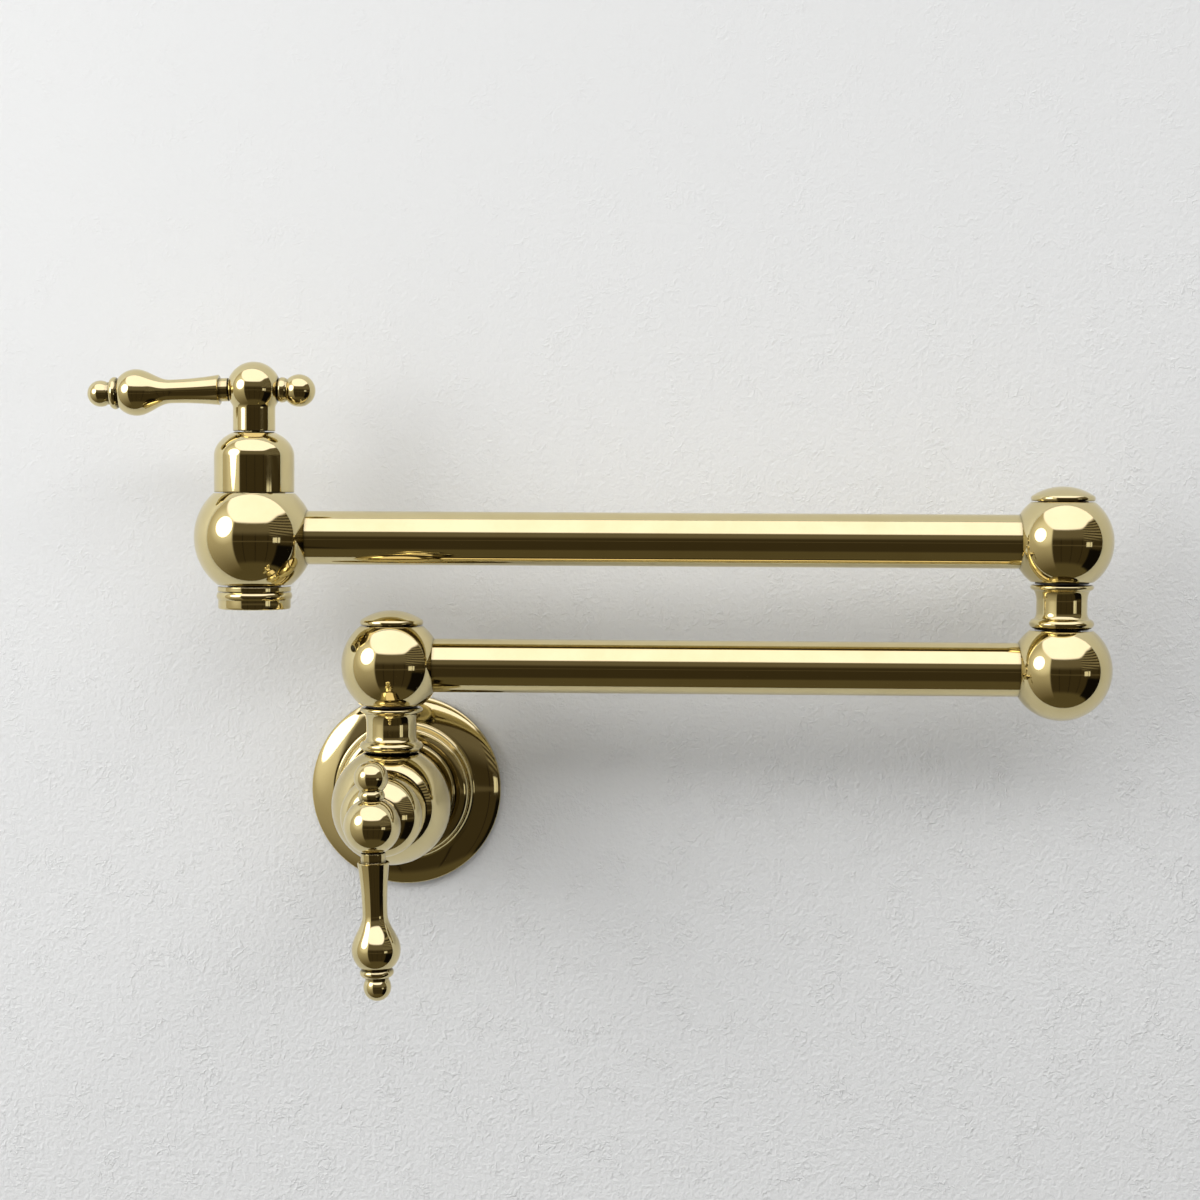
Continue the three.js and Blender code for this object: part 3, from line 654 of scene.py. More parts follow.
def plain_steel(graph):
    """Stainless steel of a washer or a screw, with faint drawing lines."""
    place = graph.place()
    lines = graph.noise(graph.scaled(place, 0.05, 1, 1), 4200, 2, 0.5)
    stain = graph.noise(place, 220, 3, 0.55)
    colour = graph.blend(stain.smooth(0.35, 0.75), STEEL, STEEL_STAIN)
    rough = 0.24 + lines * 0.14
    graph.surface(skin(graph, colour, 1, rough, graph.bump(lines, 0.15, 0.00002)))


FINISHES = {
    "polished_brass": polished_brass,
    "machined_brass": machined_brass,
    "black_rubber": black_rubber,
    "dark_nylon": dark_nylon,
    "white_ceramic": white_ceramic,
    "plain_steel": plain_steel,
}

MADE_FINISHES = {}


def finish_of(slot):
    """The material of a finish, made once."""
    if slot not in MADE_FINISHES:
        MADE_FINISHES[slot] = material(slot + "_finish", FINISHES[slot])
    return MADE_FINISHES[slot]


SLOT_OF = {entry["node"]: entry["material_slot"] for entry in frame["record"]["subparts"]}
BODY_OF = {
    node: body
    for body, nodes in frame["record"]["behaviour"]["bodies"].items()
    for node in nodes
}


def fitted(piece, node):
    """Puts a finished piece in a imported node's stead, on its body and in its finish."""
    piece.name = node + "_smooth"
    slot = SLOT_OF[node]
    piece.data.materials.clear()
    piece.data.materials.append(finish_of(slot))
    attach(piece, BODY_OF[node])
    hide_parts(node)
    return piece


# ---- Outlines of the turned pieces ----


def flange_outline():
    underside = GASKET_HEIGHT + STEP
    edge_inner = GASKET_RADIUS + SLIP
    collar_back = COLLAR_FRONT - COLLAR_DROP - COLLAR_BORE_DEPTH
    bore = SHANK_FOOT_RADIUS + SLIP
    shoulder = COLLAR_FRONT - COLLAR_SHOULDER
    collar_inner = COLLAR_RADIUS - COLLAR_SHOULDER
    dish_reach = FLANGE_RADIUS + DISH_OVER
    dish_centre = DISH_HEIGHT - DISH_RISE * chord(1, DISH_RADIUS / dish_reach)
    rim = dish_centre + DISH_RISE * chord(1, FLANGE_RADIUS / dish_reach)

    return [
        (FLANGE_RADIUS, 0, EDGE),
        (FLANGE_RADIUS, rim, SOFT),
        *stretch(dish_reach, DISH_RISE, dish_centre, rim + EDGE, DISH_HEIGHT, 24),
        *quarter((DISH_RADIUS, DISH_HEIGHT), (COLLAR_RADIUS, shoulder), True, 12)[1:],
        *quarter((COLLAR_RADIUS, shoulder), (COLLAR_LIP_RADIUS, COLLAR_FRONT), False, 10)[1:],
        (bore, COLLAR_FRONT - COLLAR_DROP, EDGE),
        (bore, collar_back, EDGE),
        (collar_inner, collar_back),
        (collar_inner, underside),
        (edge_inner, underside),
        (edge_inner, 0, EDGE),
    ]


def cartridge_cavity():
    """The space for the cartridge, from the bonnet's seat down to the waterway."""
    return [
        (GLAND_BORE, BONNET_SEAT, EDGE),
        (GLAND_BORE, SEAT_DEPTH),
        (CARTRIDGE_BORE, SEAT_DEPTH),
        (CARTRIDGE_BORE, -SEAT_DEPTH),
        (WATERWAY, -SEAT_DEPTH),
    ]


def valve_body_outline():
    nipple_bore = NIPPLE_RADIUS + SLIP
    nipple_floor = SHANK_END + NIPPLE_SEAT + SLIP
    cove_start = SHANK_END + SHANK_FOOT
    cove_end = cove_start + SHANK_COVE
    ball_start = -chord(VALVE_RADIUS, SHANK_RADIUS)
    return [
        (nipple_bore, SHANK_END, EDGE),
        (SHANK_FOOT_RADIUS, SHANK_END, EDGE),
        *quarter((SHANK_FOOT_RADIUS, cove_start), (SHANK_RADIUS, cove_end), True, 10),
        *ball_part(VALVE_RADIUS, 0, ball_start, BONNET_SEAT, BALL_STEPS),
        *cartridge_cavity(),
        (WATERWAY, nipple_floor),
        (nipple_bore, nipple_floor),
    ]


def outlet_ball_outline():
    tenon_floor = -COLLAR_SEAT + COLLAR_TENON_LENGTH + SLIP
    return [
        (COLLAR_TENON_RADIUS + SLIP, -COLLAR_SEAT, EDGE),
        *ball_part(VALVE_RADIUS, 0, -COLLAR_SEAT, BONNET_SEAT, BALL_STEPS),
        *cartridge_cavity(),
        (WATERWAY, tenon_floor),
        (COLLAR_TENON_RADIUS + SLIP, tenon_floor),
    ]


def swivel_ball_outline():
    return [
        (LAND_RADIUS, -SWIVEL_FLAT, EDGE),
        *ball_part(SWIVEL_RADIUS, 0, -SWIVEL_FLAT, SWIVEL_FLAT, BALL_STEPS),
        (CAP_BORE, SWIVEL_FLAT, EDGE),
        (CAP_BORE, LEDGE),
        (LAND_RADIUS, LEDGE),
        (LAND_RADIUS, CHAMBER_HALF),
        (CHAMBER_RADIUS, CHAMBER_HALF),
        (CHAMBER_RADIUS, -CHAMBER_HALF),
        (LAND_RADIUS, -CHAMBER_HALF),
    ]


def elbow_low_outline():
    socket = TENON_RADIUS + SLIP
    floor = SWIVEL_FLAT - NECK_TENON_LENGTH - SLIP
    return [
        (0, -SWIVEL_RADIUS),
        *ball_part(SWIVEL_RADIUS, 0, -SWIVEL_RADIUS, SWIVEL_FLAT, 48)[1:],
        (socket, SWIVEL_FLAT, EDGE),
        (socket, floor),
        (PORT_RADIUS, floor),
        (PORT_RADIUS, 0),
        (0, -PORT_RADIUS / 2),
    ]


def o_ring_land(height):
    floor = SPIGOT_RADIUS - RING_DEPTH
    return [
        (SPIGOT_RADIUS, height - RING_HALF, EDGE / 2),
        (floor, height - RING_HALF),
        (floor, height + RING_HALF),
        (SPIGOT_RADIUS, height + RING_HALF, EDGE / 2),
    ]


def neck_outline():
    """Height 0 is the flat that the neck stands on."""
    foot = NECK_GROOVE
    bulge = NECK_BEAD_RADIUS - NECK_BEAD_LIP
    bead_top = foot + NECK_BEAD_HEIGHT
    cove_top = bead_top + NECK_COVE
    top = foot + NECK_HEIGHT
    lip_low = top - NECK_LIP_HEIGHT
    lip_inner = NECK_LIP_RADIUS - NECK_LIP_ROUND
    ball_height = NECK_GROOVE + NECK_HEIGHT + SWIVEL_GAP + SWIVEL_FLAT
    low_ring = ball_height - CHAMBER_HALF - RING_INSET
    high_ring = ball_height + CHAMBER_HALF + RING_INSET
    screw_bore = ball_height + SPIGOT_WINDOW
    return [
        (NECK_BORE, -NECK_TENON_LENGTH),
        (TENON_RADIUS, -NECK_TENON_LENGTH, EDGE),
        (TENON_RADIUS, SLIP),
        (NECK_SEAT_RADIUS - SLIP, SLIP, EDGE),
        (NECK_SEAT_RADIUS - SLIP, foot),
        *bead((NECK_BEAD_LIP, foot), (NECK_BEAD_LIP, bead_top), bulge, 12),
        *quarter((NECK_BEAD_LIP - STEP, bead_top), (NECK_WAIST_RADIUS, cove_top), True, 8),
        *quarter((NECK_WAIST_RADIUS, lip_low - NECK_FLARE), (lip_inner, lip_low), False, 12),
        *bead((lip_inner, lip_low), (lip_inner, top), NECK_LIP_RADIUS - lip_inner, 8)[1:],
        (SPIGOT_RADIUS, top),
        *o_ring_land(low_ring),
        *o_ring_land(high_ring),
        (SPIGOT_RADIUS, SPIGOT_TOP, EDGE),
        (SPIGOT_SCREW_BORE, SPIGOT_TOP, EDGE),
        (SPIGOT_SCREW_BORE, screw_bore),
        (NECK_BORE, screw_bore),
    ]


def cap_outline():
    seat = SWIVEL_FLAT + SLIP
    edge_top = seat + CAP_EDGE
    inner = CAP_RADIUS - SLIP
    crown = CAP_TOP - edge_top
    crown_radius = (inner**2 + crown**2) / (2 * crown)
    return [
        (0, CAP_PLUG),
        (CAP_BORE - SLIP, CAP_PLUG, EDGE),
        (CAP_BORE - SLIP, seat),
        *bead((inner, seat), (inner, edge_top), SLIP, 8),
        *ball_part(crown_radius, CAP_TOP - crown_radius, edge_top, CAP_TOP, 20)[1:],
    ]


def bonnet_outline():
    dome_base = BONNET_BASE + BONNET_SKIRT
    inner = BONNET_RADIUS - BONNET_WALL
    ceiling = BONNET_TOP - BONNET_WALL
    return [
        (inner, BONNET_BASE, EDGE),
        (BONNET_RADIUS, BONNET_BASE, EDGE),
        *stretch(BONNET_RADIUS, DOME_RISE, dome_base, dome_base, BONNET_TOP, 20),
        (BONNET_HOLE, BONNET_TOP, EDGE),
        (BONNET_HOLE, ceiling),
        *quarter((BONNET_HOLE + BONNET_WALL, ceiling), (inner, dome_base), True, 8),
    ]


def hub_outline():
    joint = HANDLE_REACH - chord(HUB_RADIUS, SLEEVE_RADIUS)
    return [
        (0, HANDLE_REACH + HUB_BORE_OVER),
        (STEM_BORE, HANDLE_REACH + HUB_BORE_OVER),
        (STEM_BORE, HUB_BASE, EDGE),
        (SLEEVE_RADIUS, HUB_BASE, EDGE),
        (SLEEVE_RADIUS, joint - STEP, SOFT),
        *ball_part(HUB_RADIUS, HANDLE_REACH, joint + SOFT, HANDLE_REACH + HUB_RADIUS, 32),
    ]


# A handle's arm runs from the hub's centre. These are distances along it, and radii.
LEVER_COLLAR_RADIUS = 4.35
LEVER_COLLAR_LENGTH = 3.4
LEVER_FLARE_RADIUS = 5.65
LEVER_WAIST_RADIUS = 4.42
LEVER_WAIST_AT = 31
LEVER_SWELL_AT = 31.4
LEVER_BULB_RADIUS = 8.7
LEVER_BULB_AT = 44.1
LEVER_BULB_END = 50.1
LEVER_RING_RADIUS = 6.05
LEVER_RING_LENGTH = 2.9
LEVER_GROOVE = 0.7
KNOB_AT = 57.6
KNOB_RADIUS = 4.92
ARM_TENON_RADIUS = 2.7
ARM_TENON_START = STEM_BORE + SLIP
FINIAL_RING_RADIUS = 4.65
FINIAL_RING_FOOT = 4.35
FINIAL_RING_BULGE = 0.45
FINIAL_RING_LENGTH = 2.9
FINIAL_WAIST_RADIUS = 4.2
FINIAL_AT = 16.9


def lever_shank(flare_at, steps=16):
    """Points of the lever's slender part, which narrows from its flare to its waist."""
    made = []
    for i in range(steps + 1):
        share = 1 - i / steps
        radius = LEVER_WAIST_RADIUS + (LEVER_FLARE_RADIUS - LEVER_WAIST_RADIUS) * share**2
        made.append((radius, LEVER_WAIST_AT + (flare_at - LEVER_WAIST_AT) * share))
    return made


def lever_outline():
    collar = chord(HUB_RADIUS, LEVER_COLLAR_RADIUS) + SLIP
    flare = collar + LEVER_COLLAR_LENGTH
    ring = LEVER_BULB_END + LEVER_GROOVE
    ring_end = ring + LEVER_RING_LENGTH
    groove_radius = LEVER_RING_RADIUS - LEVER_GROOVE
    ring_foot = (groove_radius, ring + STEP / 2)
    ring_head = (groove_radius, ring_end - STEP / 2)
    knob_neck = KNOB_RADIUS - LEVER_GROOVE
    knob_start = KNOB_AT - chord(KNOB_RADIUS, knob_neck)
    return [
        (0, ARM_TENON_START),
        (ARM_TENON_RADIUS, ARM_TENON_START),
        (ARM_TENON_RADIUS, collar),
        (LEVER_COLLAR_RADIUS, collar, EDGE),
        (LEVER_COLLAR_RADIUS, flare, STEP),
        (LEVER_FLARE_RADIUS - SLIP, flare, EDGE),
        *lever_shank(flare + SLIP),
        *swell((LEVER_WAIST_RADIUS, LEVER_SWELL_AT), (LEVER_BULB_RADIUS, LEVER_BULB_AT), 20),
        *ball_part(LEVER_BULB_RADIUS, LEVER_BULB_AT, LEVER_BULB_AT, LEVER_BULB_END, 14)[1:],
        (groove_radius, ring, EDGE / 2),
        *bead(ring_foot, ring_head, LEVER_GROOVE, 12),
        (knob_neck, ring_end, STEP),
        *ball_part(KNOB_RADIUS, KNOB_AT, knob_start, KNOB_AT + KNOB_RADIUS, 24),
    ]


def finial_outline():
    ring = chord(HUB_RADIUS, FINIAL_RING_RADIUS) + SLIP
    ring_end = ring + FINIAL_RING_LENGTH
    ball_start = FINIAL_AT - chord(FINIAL_RADIUS, FINIAL_WAIST_RADIUS)
    return [
        (0, ARM_TENON_START),
        (ARM_TENON_RADIUS, ARM_TENON_START),
        (ARM_TENON_RADIUS, ring),
        *bead((FINIAL_RING_FOOT, ring), (FINIAL_WAIST_RADIUS, ring_end), FINIAL_RING_BULGE, 10),
        *ball_part(FINIAL_RADIUS, FINIAL_AT, ball_start, FINIAL_AT + FINIAL_RADIUS, 28),
    ]


def collar_outline():
    plate_top = -COLLAR_SEAT - SPOUT_GROOVE
    plate_bottom = plate_top - PLATE_HEIGHT
    sleeve_bottom = span("outlet_collar", "Z")[0] - ELBOW_Z
    sleeve = AERATOR_BAND_RADIUS - AERATOR_WALL - SLIP
    tenon_top = span("outlet_collar", "Z")[1] - ELBOW_Z
    return [
        (OUTLET_BORE, sleeve_bottom, EDGE),
        (sleeve, sleeve_bottom, EDGE),
        (sleeve, plate_bottom),
        (PLATE_RADIUS, plate_bottom, EDGE),
        (PLATE_RADIUS, plate_top, EDGE),
        (COLLAR_TENON_RADIUS, plate_top),
        (COLLAR_TENON_RADIUS, tenon_top, EDGE),
        (OUTLET_BORE, tenon_top, EDGE),
    ]


def aerator_outline():
    bore = AERATOR_BAND_RADIUS - AERATOR_WALL
    band_top = AERATOR_TOP - AERATOR_BULGE
    lip = bore - AERATOR_LIP
    lip_top = AERATOR_BOTTOM + AERATOR_LIP
    bulge = AERATOR_RADIUS - AERATOR_BAND_RADIUS
    return [
        (lip, AERATOR_BOTTOM, SLIP),
        (AERATOR_BAND_RADIUS, AERATOR_BOTTOM, AERATOR_ROUND),
        (AERATOR_BAND_RADIUS, band_top),
        *bead((AERATOR_BAND_RADIUS, band_top), (AERATOR_BAND_RADIUS, AERATOR_TOP), bulge, 12)[1:],
        (bore, AERATOR_TOP, EDGE),
        (bore, lip_top),
        (lip, lip_top),
    ]


def tube_outline(node):
    low, high = span(node, "X")
    bore = TUBE_RADIUS - TUBE_WALL
    return [
        (bore, low, EDGE),
        (TUBE_RADIUS, low, EDGE),
        (TUBE_RADIUS, high, EDGE),
        (bore, high, EDGE),
    ]


# ---- Pieces that aren't plainly turned ----


def threaded_nipple():
    """The half inch pipe nipple, with a thread on the end that goes into the wall."""
    pitch = 1.8
    depth = 1.0
    flank = 1.25  # how steep a flank is; above 1 leaves a flat crest
    first_ridge = 0.2
    sides = SMALL_SIDES
    steps_per_turn = 10
    thread_length = 15
    bore = 7.9
    front, back = -span("inlet_nipple", "Y")[0], -span("inlet_nipple", "Y")[1]
    made = bmesh.new()

    def ring(radius_at, height):
        corners = []
        for i in range(sides):
            turn = i / sides
            radius = radius_at(turn)
            angle = 2 * math.pi * turn
            corner = Vector((radius * math.cos(angle), radius * math.sin(angle), height))
            corners.append(made.verts.new(corner * MM))
        return corners

    def thread_radius(height):
        fade = min(1, (back + thread_length - height) / (2 * pitch))
        run_in = min(1, (height - back) / pitch + first_ridge)

        def radius_at(turn):
            phase = (height / pitch - turn) % 1
            ridge = 1 - abs(2 * phase - 1)
            cut = depth * fade * (1 - min(1, ridge * flank))
            return NIPPLE_RADIUS - max(cut, depth * (1 - run_in))

        return radius_at

    count = round(thread_length / pitch * steps_per_turn)
    heights = [back + thread_length * i / count for i in range(count + 1)]
    rings = [ring(thread_radius(height), height) for height in heights]
    plain = (
        (NIPPLE_RADIUS, front - EDGE),
        (NIPPLE_RADIUS - EDGE, front),
        (bore + EDGE, front),
        (bore, front - EDGE),
        (bore, back + EDGE),
        (bore + EDGE, back),
    )
    for radius, height in plain:
        rings.append(ring(lambda turn: radius, height))
    for low, high in zip(rings, rings[1:] + rings[:1]):
        for i in range(sides):
            j = (i + 1) % sides
            made.faces.new((low[i], low[j], high[j], high[i]))
    bmesh.ops.recalc_face_normals(made, faces=made.faces)
    return finished("nipple", made, OUT_OF_WALL)


def grub_screw():
    """The flange's grub screw, with its hexagon socket."""
    low, high = span("flange_grub_screw", "Z")
    height = -middle("flange_grub_screw", "Y")
    place = OUT_OF_WALL @ at(low, 0, height) @ LYING_X
    length = high - low
    corners = [
        (0, 0),
        (GRUB_RADIUS, 0, STEP),
        (GRUB_RADIUS, length, STEP),
        (0, length),
    ]
    screw = turned("grub", corners, place, SCREW_SIDES)
    return drilled(screw, bar(GRUB_SOCKET, -CUT_OVER, GRUB_SOCKET_DEPTH, place, HEXAGON))


def perforated_insert():
    """The aerator's insert: a disc with a ring of water holes round a middle one."""
    radius = width("aerator_insert", "X") / 2
    corners = [
        (0, INSERT_BOTTOM),
        (radius, INSERT_BOTTOM, EDGE),
        (radius, INSERT_TOP, EDGE),
        (0, INSERT_TOP),
    ]
    disc = turned("insert", corners, SPOUT_VALVE, SMALL_SIDES)
    places = [SPOUT_VALVE]
    for i in range(JET_COUNT):
        angle = 2 * math.pi * i / JET_COUNT
        x, y = JET_CIRCLE * math.cos(angle), JET_CIRCLE * math.sin(angle)
        places.append(SPOUT_VALVE @ at(x, y, 0))
    start, end = INSERT_BOTTOM - CUT_OVER, INSERT_TOP + CUT_OVER
    return drilled(disc, *(bar(JET_RADIUS, start, end, place, JET_SIDES) for place in places))


def ball_with_socket(name, outline, place, radius, lying, port_start):
    """A ball with the socket and the water port of its arm tube."""
    socket_radius = TUBE_RADIUS + SOCKET_CLEAR
    socket_start = chord(radius, TUBE_RADIUS + SLIP) - TUBE_SEAT
    ball = turned(name, outline, place)
    socket = bar(socket_radius, socket_start, radius + SEAT_OVER, place @ lying)
    port = bar(PORT_RADIUS, port_start, radius, place @ lying, PORT_SIDES)
    drilled(ball, socket, port)
    return true_ball_normals(ball, 0, radius)


def wall_valve_body():
    body = turned("wall_body", valve_body_outline(), WALL_VALVE)
    upright = WALL_VALVE @ LYING_X
    neck_seat = chord(VALVE_RADIUS, NECK_SEAT_RADIUS)
    tenon_floor = neck_seat - NECK_TENON_LENGTH - SLIP
    drilled(
        body,
        bar(NECK_SEAT_RADIUS, neck_seat, VALVE_RADIUS + SEAT_OVER, upright),
        bar(TENON_RADIUS + TENON_CLEAR, tenon_floor, VALVE_RADIUS, upright, SMALL_SIDES),
        bar(PORT_RADIUS, 0, neck_seat, upright, PORT_SIDES),
    )
    return true_ball_normals(body, 0, VALVE_RADIUS)


def arm_places(valve):
    """Where a lever and a finial start, at their hub's centre, with +Z along each."""
    centre = valve @ at(0, 0, HANDLE_REACH)
    return [centre @ Matrix.Rotation(side * HANDLE_TURN, 4, "Y") for side in (-1, 1)]


def settled(piece):
    """Moves a leaning piece's place into its mesh, so that its box keeps to the frame's axes."""
    piece.data.transform(piece.matrix_world)
    piece.matrix_world = Matrix()
    return piece


def hub_piece(name, valve):
    """A handle's hub, with flats and holes for its lever and its finial."""
    hub = turned(name, hub_outline(), valve)
    lever_side, finial_side = arm_places(valve)
    reach = HUB_RADIUS + CUT_OVER
    lever_flat = chord(HUB_RADIUS, LEVER_COLLAR_RADIUS)
    finial_flat = chord(HUB_RADIUS, FINIAL_RING_RADIUS)
    tenon_hole = ARM_TENON_RADIUS + TENON_CLEAR
    drilled(
        hub,
        bar(LEVER_FLARE_RADIUS, lever_flat, reach, lever_side, SMALL_SIDES),
        bar(FINIAL_RADIUS, finial_flat, reach, finial_side, SMALL_SIDES),
        bar(tenon_hole, ARM_TENON_START, reach, lever_side, PORT_SIDES),
        bar(tenon_hole, ARM_TENON_START, reach, finial_side, PORT_SIDES),
    )
    return true_ball_normals(hub, HANDLE_REACH, HUB_RADIUS)


# ---- Settings ----


def colour_setting(name, description, default):
    return bpy.props.FloatVectorProperty(
        name=name,
        description=description,
        subtype="COLOR",
        size=3,
        min=0,
        max=1,
        default=default,
    )


def number_setting(name, description, default, **more):
    return bpy.props.FloatProperty(name=name, description=description, default=default, **more)


def share_setting(name, description, default):
    return number_setting(name, description, default, subtype="FACTOR", min=0, max=1)


class PotFillerFinish(bpy.types.PropertyGroup):
    """Colours and gloss of the brass."""

    brass: colour_setting(
        "Polished brass", "Colour of the clean polished brass", (0.7, 0.6, 0.33)
    )
    brass_shade: colour_setting(
        "Hazy brass", "Colour of the brass where it is a little tarnished", (0.66, 0.555, 0.29)
    )
    raw_brass: colour_setting(
        "Machined brass", "Colour of the unpolished brass of the inner pieces", (0.62, 0.5, 0.26)
    )
    # Painted shade, laid into the joints and creases of the polished brass.
    joint_painted_shade: colour_setting(
        "Joint painted shade", "Colour of the shade painted into the joints", (0.03, 0.022, 0.012)
    )
    brass_roughness: share_setting("Brass roughness", "Roughness of the polished brass", 0.04)


class PotFillerStage(bpy.types.PropertyGroup):
    """Wall, light and camera."""

    wall: colour_setting("Wall", "Colour of the wall that the part hangs on", (0.86, 0.865, 0.86))
    # Painted shade: how much of its colour the wall keeps low down.
    wall_fade: share_setting("Wall fade", "Share of its tone that the wall keeps low down", 0.86)
    wall_width: number_setting(
        "Wall width", "Width of the wall", 8.0, unit="LENGTH", subtype="DISTANCE"
    )
    lamp_power: number_setting("Lamp", "Power of the soft lamp on the left", 2.7, unit="POWER")
    studio: number_setting(
        "Studio", "Brightness of the studio in front of the wall, as the brass mirrors it", 1.0
    )
    fill: number_setting("Studio light", "How strongly the studio lights the wall", 2.0)
    haze: number_setting("Even light", "Light that reaches the wall evenly from all sides", 0.08)
    lens: number_setting(
        "Lens", "Focal length of the camera, in millimetres on a 36 mm sensor", 72.23
    )


# ---- Operators ----


class POTFILLER_OT_flange(bpy.types.Operator):
    """Make the wall flange, its gasket and its grub screw"""

    bl_idname = "potfiller.flange"
    bl_label = "Wall flange"

    def execute(self, context):
        fitted(turned("flange", flange_outline(), OUT_OF_WALL, FINE_SIDES), "wall_flange")
        inner = GASKET_RADIUS - GASKET_WIDTH
        gasket = [
            (inner, 0, EDGE),
            (GASKET_RADIUS, 0, EDGE),
            (GASKET_RADIUS, GASKET_HEIGHT, EDGE),
            (inner, GASKET_HEIGHT, EDGE),
        ]
        fitted(turned("gasket", gasket, OUT_OF_WALL), "flange_gasket")
        fitted(grub_screw(), "flange_grub_screw")
        return {"FINISHED"}


class POTFILLER_OT_inlet(bpy.types.Operator):
    """Make the threaded nipple that goes into the wall"""

    bl_idname = "potfiller.inlet"
    bl_label = "Inlet nipple"

    def execute(self, context):
        fitted(threaded_nipple(), "inlet_nipple")
        return {"FINISHED"}


class POTFILLER_OT_valves(bpy.types.Operator):
    """Make both valve balls with their bonnets"""

    bl_idname = "potfiller.valves"
    bl_label = "Valve balls and bonnets"

    def execute(self, context):
        fitted(wall_valve_body(), "wall_valve_body")
        outlet = ball_with_socket(
            "outlet", outlet_ball_outline(), SPOUT_VALVE, VALVE_RADIUS, LYING_X, 0
        )
        fitted(outlet, "outlet_ball")
        fitted(turned("bonnet", bonnet_outline(), WALL_VALVE), "wall_bonnet")
        fitted(turned("bonnet", bonnet_outline(), SPOUT_VALVE), "spout_bonnet")
        return {"FINISHED"}


class POTFILLER_OT_swivels(bpy.types.Operator):
    """Make the ball swivels: necks, balls and caps"""

    bl_idname = "potfiller.swivels"
    bl_label = "Swivels"

    def execute(self, context):
        wall_seat = at(0, ARM_Y, chord(VALVE_RADIUS, NECK_SEAT_RADIUS))
        fitted(turned("neck", neck_outline(), wall_seat), "shoulder_neck")
        elbow_seat = ELBOW_LOW @ at(0, 0, SWIVEL_FLAT)
        fitted(turned("neck", neck_outline(), elbow_seat), "elbow_neck")
        swivel = swivel_ball_outline()
        balls = {
            "shoulder_ball": ("shoulder", swivel, SHOULDER, LYING_X, LAND_RADIUS),
            "elbow_lower_ball": ("elbow_low", elbow_low_outline(), ELBOW_LOW, LYING_MINUS_X, 0),
            "elbow_upper_ball": ("elbow_high", swivel, ELBOW_HIGH, LYING_MINUS_X, LAND_RADIUS),
        }
        for node, (name, outline, place, lying, port_start) in balls.items():
            ball = ball_with_socket(name, outline, place, SWIVEL_RADIUS, lying, port_start)
            fitted(ball, node)
        fitted(turned("cap", cap_outline(), SHOULDER), "shoulder_cap")
        fitted(turned("cap", cap_outline(), ELBOW_HIGH), "elbow_cap")
        return {"FINISHED"}


class POTFILLER_OT_arms(bpy.types.Operator):
    """Make both arm tubes"""

    bl_idname = "potfiller.arms"
    bl_label = "Arm tubes"

    def execute(self, context):
        for node, height in (("lower_arm_tube", SHOULDER_Z), ("upper_arm_tube", ELBOW_Z)):
            place = at(0, ARM_Y, height) @ LYING_X
            fitted(turned("tube", tube_outline(node), place, FINE_SIDES), node)
        return {"FINISHED"}


class POTFILLER_OT_handles(bpy.types.Operator):
    """Make both lever handles: hubs, levers and finials"""

    bl_idname = "potfiller.handles"
    bl_label = "Lever handles"

    def execute(self, context):
        for place, valve in (("wall", WALL_HANDLE), ("spout", SPOUT_VALVE)):
            fitted(hub_piece("hub", valve), place + "_hub")
            lever_side, finial_side = arm_places(valve)
            lever = settled(turned("lever", lever_outline(), lever_side))
            fitted(lever, place + "_lever")
            finial = settled(turned("finial", finial_outline(), finial_side))
            fitted(finial, place + "_finial")
        return {"FINISHED"}


class POTFILLER_OT_outlet(bpy.types.Operator):
    """Make the outlet collar and the aerator"""

    bl_idname = "potfiller.outlet"
    bl_label = "Outlet"

    def execute(self, context):
        fitted(turned("collar", collar_outline(), SPOUT_VALVE), "outlet_collar")
        fitted(turned("aerator", aerator_outline(), SPOUT_VALVE), "aerator_shell")
        fitted(perforated_insert(), "aerator_insert")
        return {"FINISHED"}


class POTFILLER_OT_inner(bpy.types.Operator):
    """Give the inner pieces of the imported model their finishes"""

    bl_idname = "potfiller.inner"
    bl_label = "Inner pieces"

    def execute(self, context):
        for node, slot in SLOT_OF.items():
            mesh = frame["nodes"][node].data
            mesh.materials.clear()
            mesh.materials.append(finish_of(slot))
        return {"FINISHED"}


DEGREES = 180 / math.pi

# Tones of the studio in front of the wall, as the brass mirrors them.
CANOPY = (1.72, 1.68, 1.9)
LEFT_SCREEN = (0.62, 0.57, 0.44)
LEFT_SCREEN_LOW = (0.16, 0.13, 0.075)
RIGHT_SIDE = (0.3, 0.265, 0.19)
FAR_SIDE = (0.17, 0.145, 0.1)
BOARDS = (0.05, 0.038, 0.018)
BOARD_SEAM = (0.02, 0.014, 0.007)
RAIL = (0.11, 0.09, 0.055)
FLOOR = (0.11, 0.09, 0.045)
PANES = (0.95, 0.92, 0.82)
RECESS = (0.006, 0.005, 0.004)
GLOW = (1.05, 1.0, 0.86)

# Where the studio's parts lie, in degrees: to the side of straight ahead, and above level. A pair
# gives where one tone starts to give way to the next, and where it is gone.
FLOOR_TO_BOARDS = (-52, -42)
BOARDS_TO_FAR_SIDE = (2, 14)
BOARD_WIDTH = 12
SEAM_FADE = (0.3, 1.1)
RAIL_RISE = (-7.5, -5.5)
SLATS_SIDE = (36, 44)
SLATS_RISE = (0, 10)
SLAT_RIPPLE = 1.3
SLAT_SLOPE = 0.2
SLAT_FADE = (-0.3, 0.5)
RECESS_SIDE = (54, 94)
RECESS_RISE = (-50, -12)
RECESS_SOFT = 3
PANES_SIDE = (45, 60)
PANES_RISE = (-9, 1)
PANE_WIDTH = 5
PANE_FADE = (0.3, 0.9)
LEFT_SCREEN_LIGHT = (-62, 12)
LEFT_SCREEN_SIDE = (-35, -30)
LEFT_SCREEN_FOOT = (-66, -50)
GLOW_FADE = (0.82, 0.985)  # cosines of the angle to the lamp
CANOPY_RISE = (26, 31)
CANOPY_DROP = 10
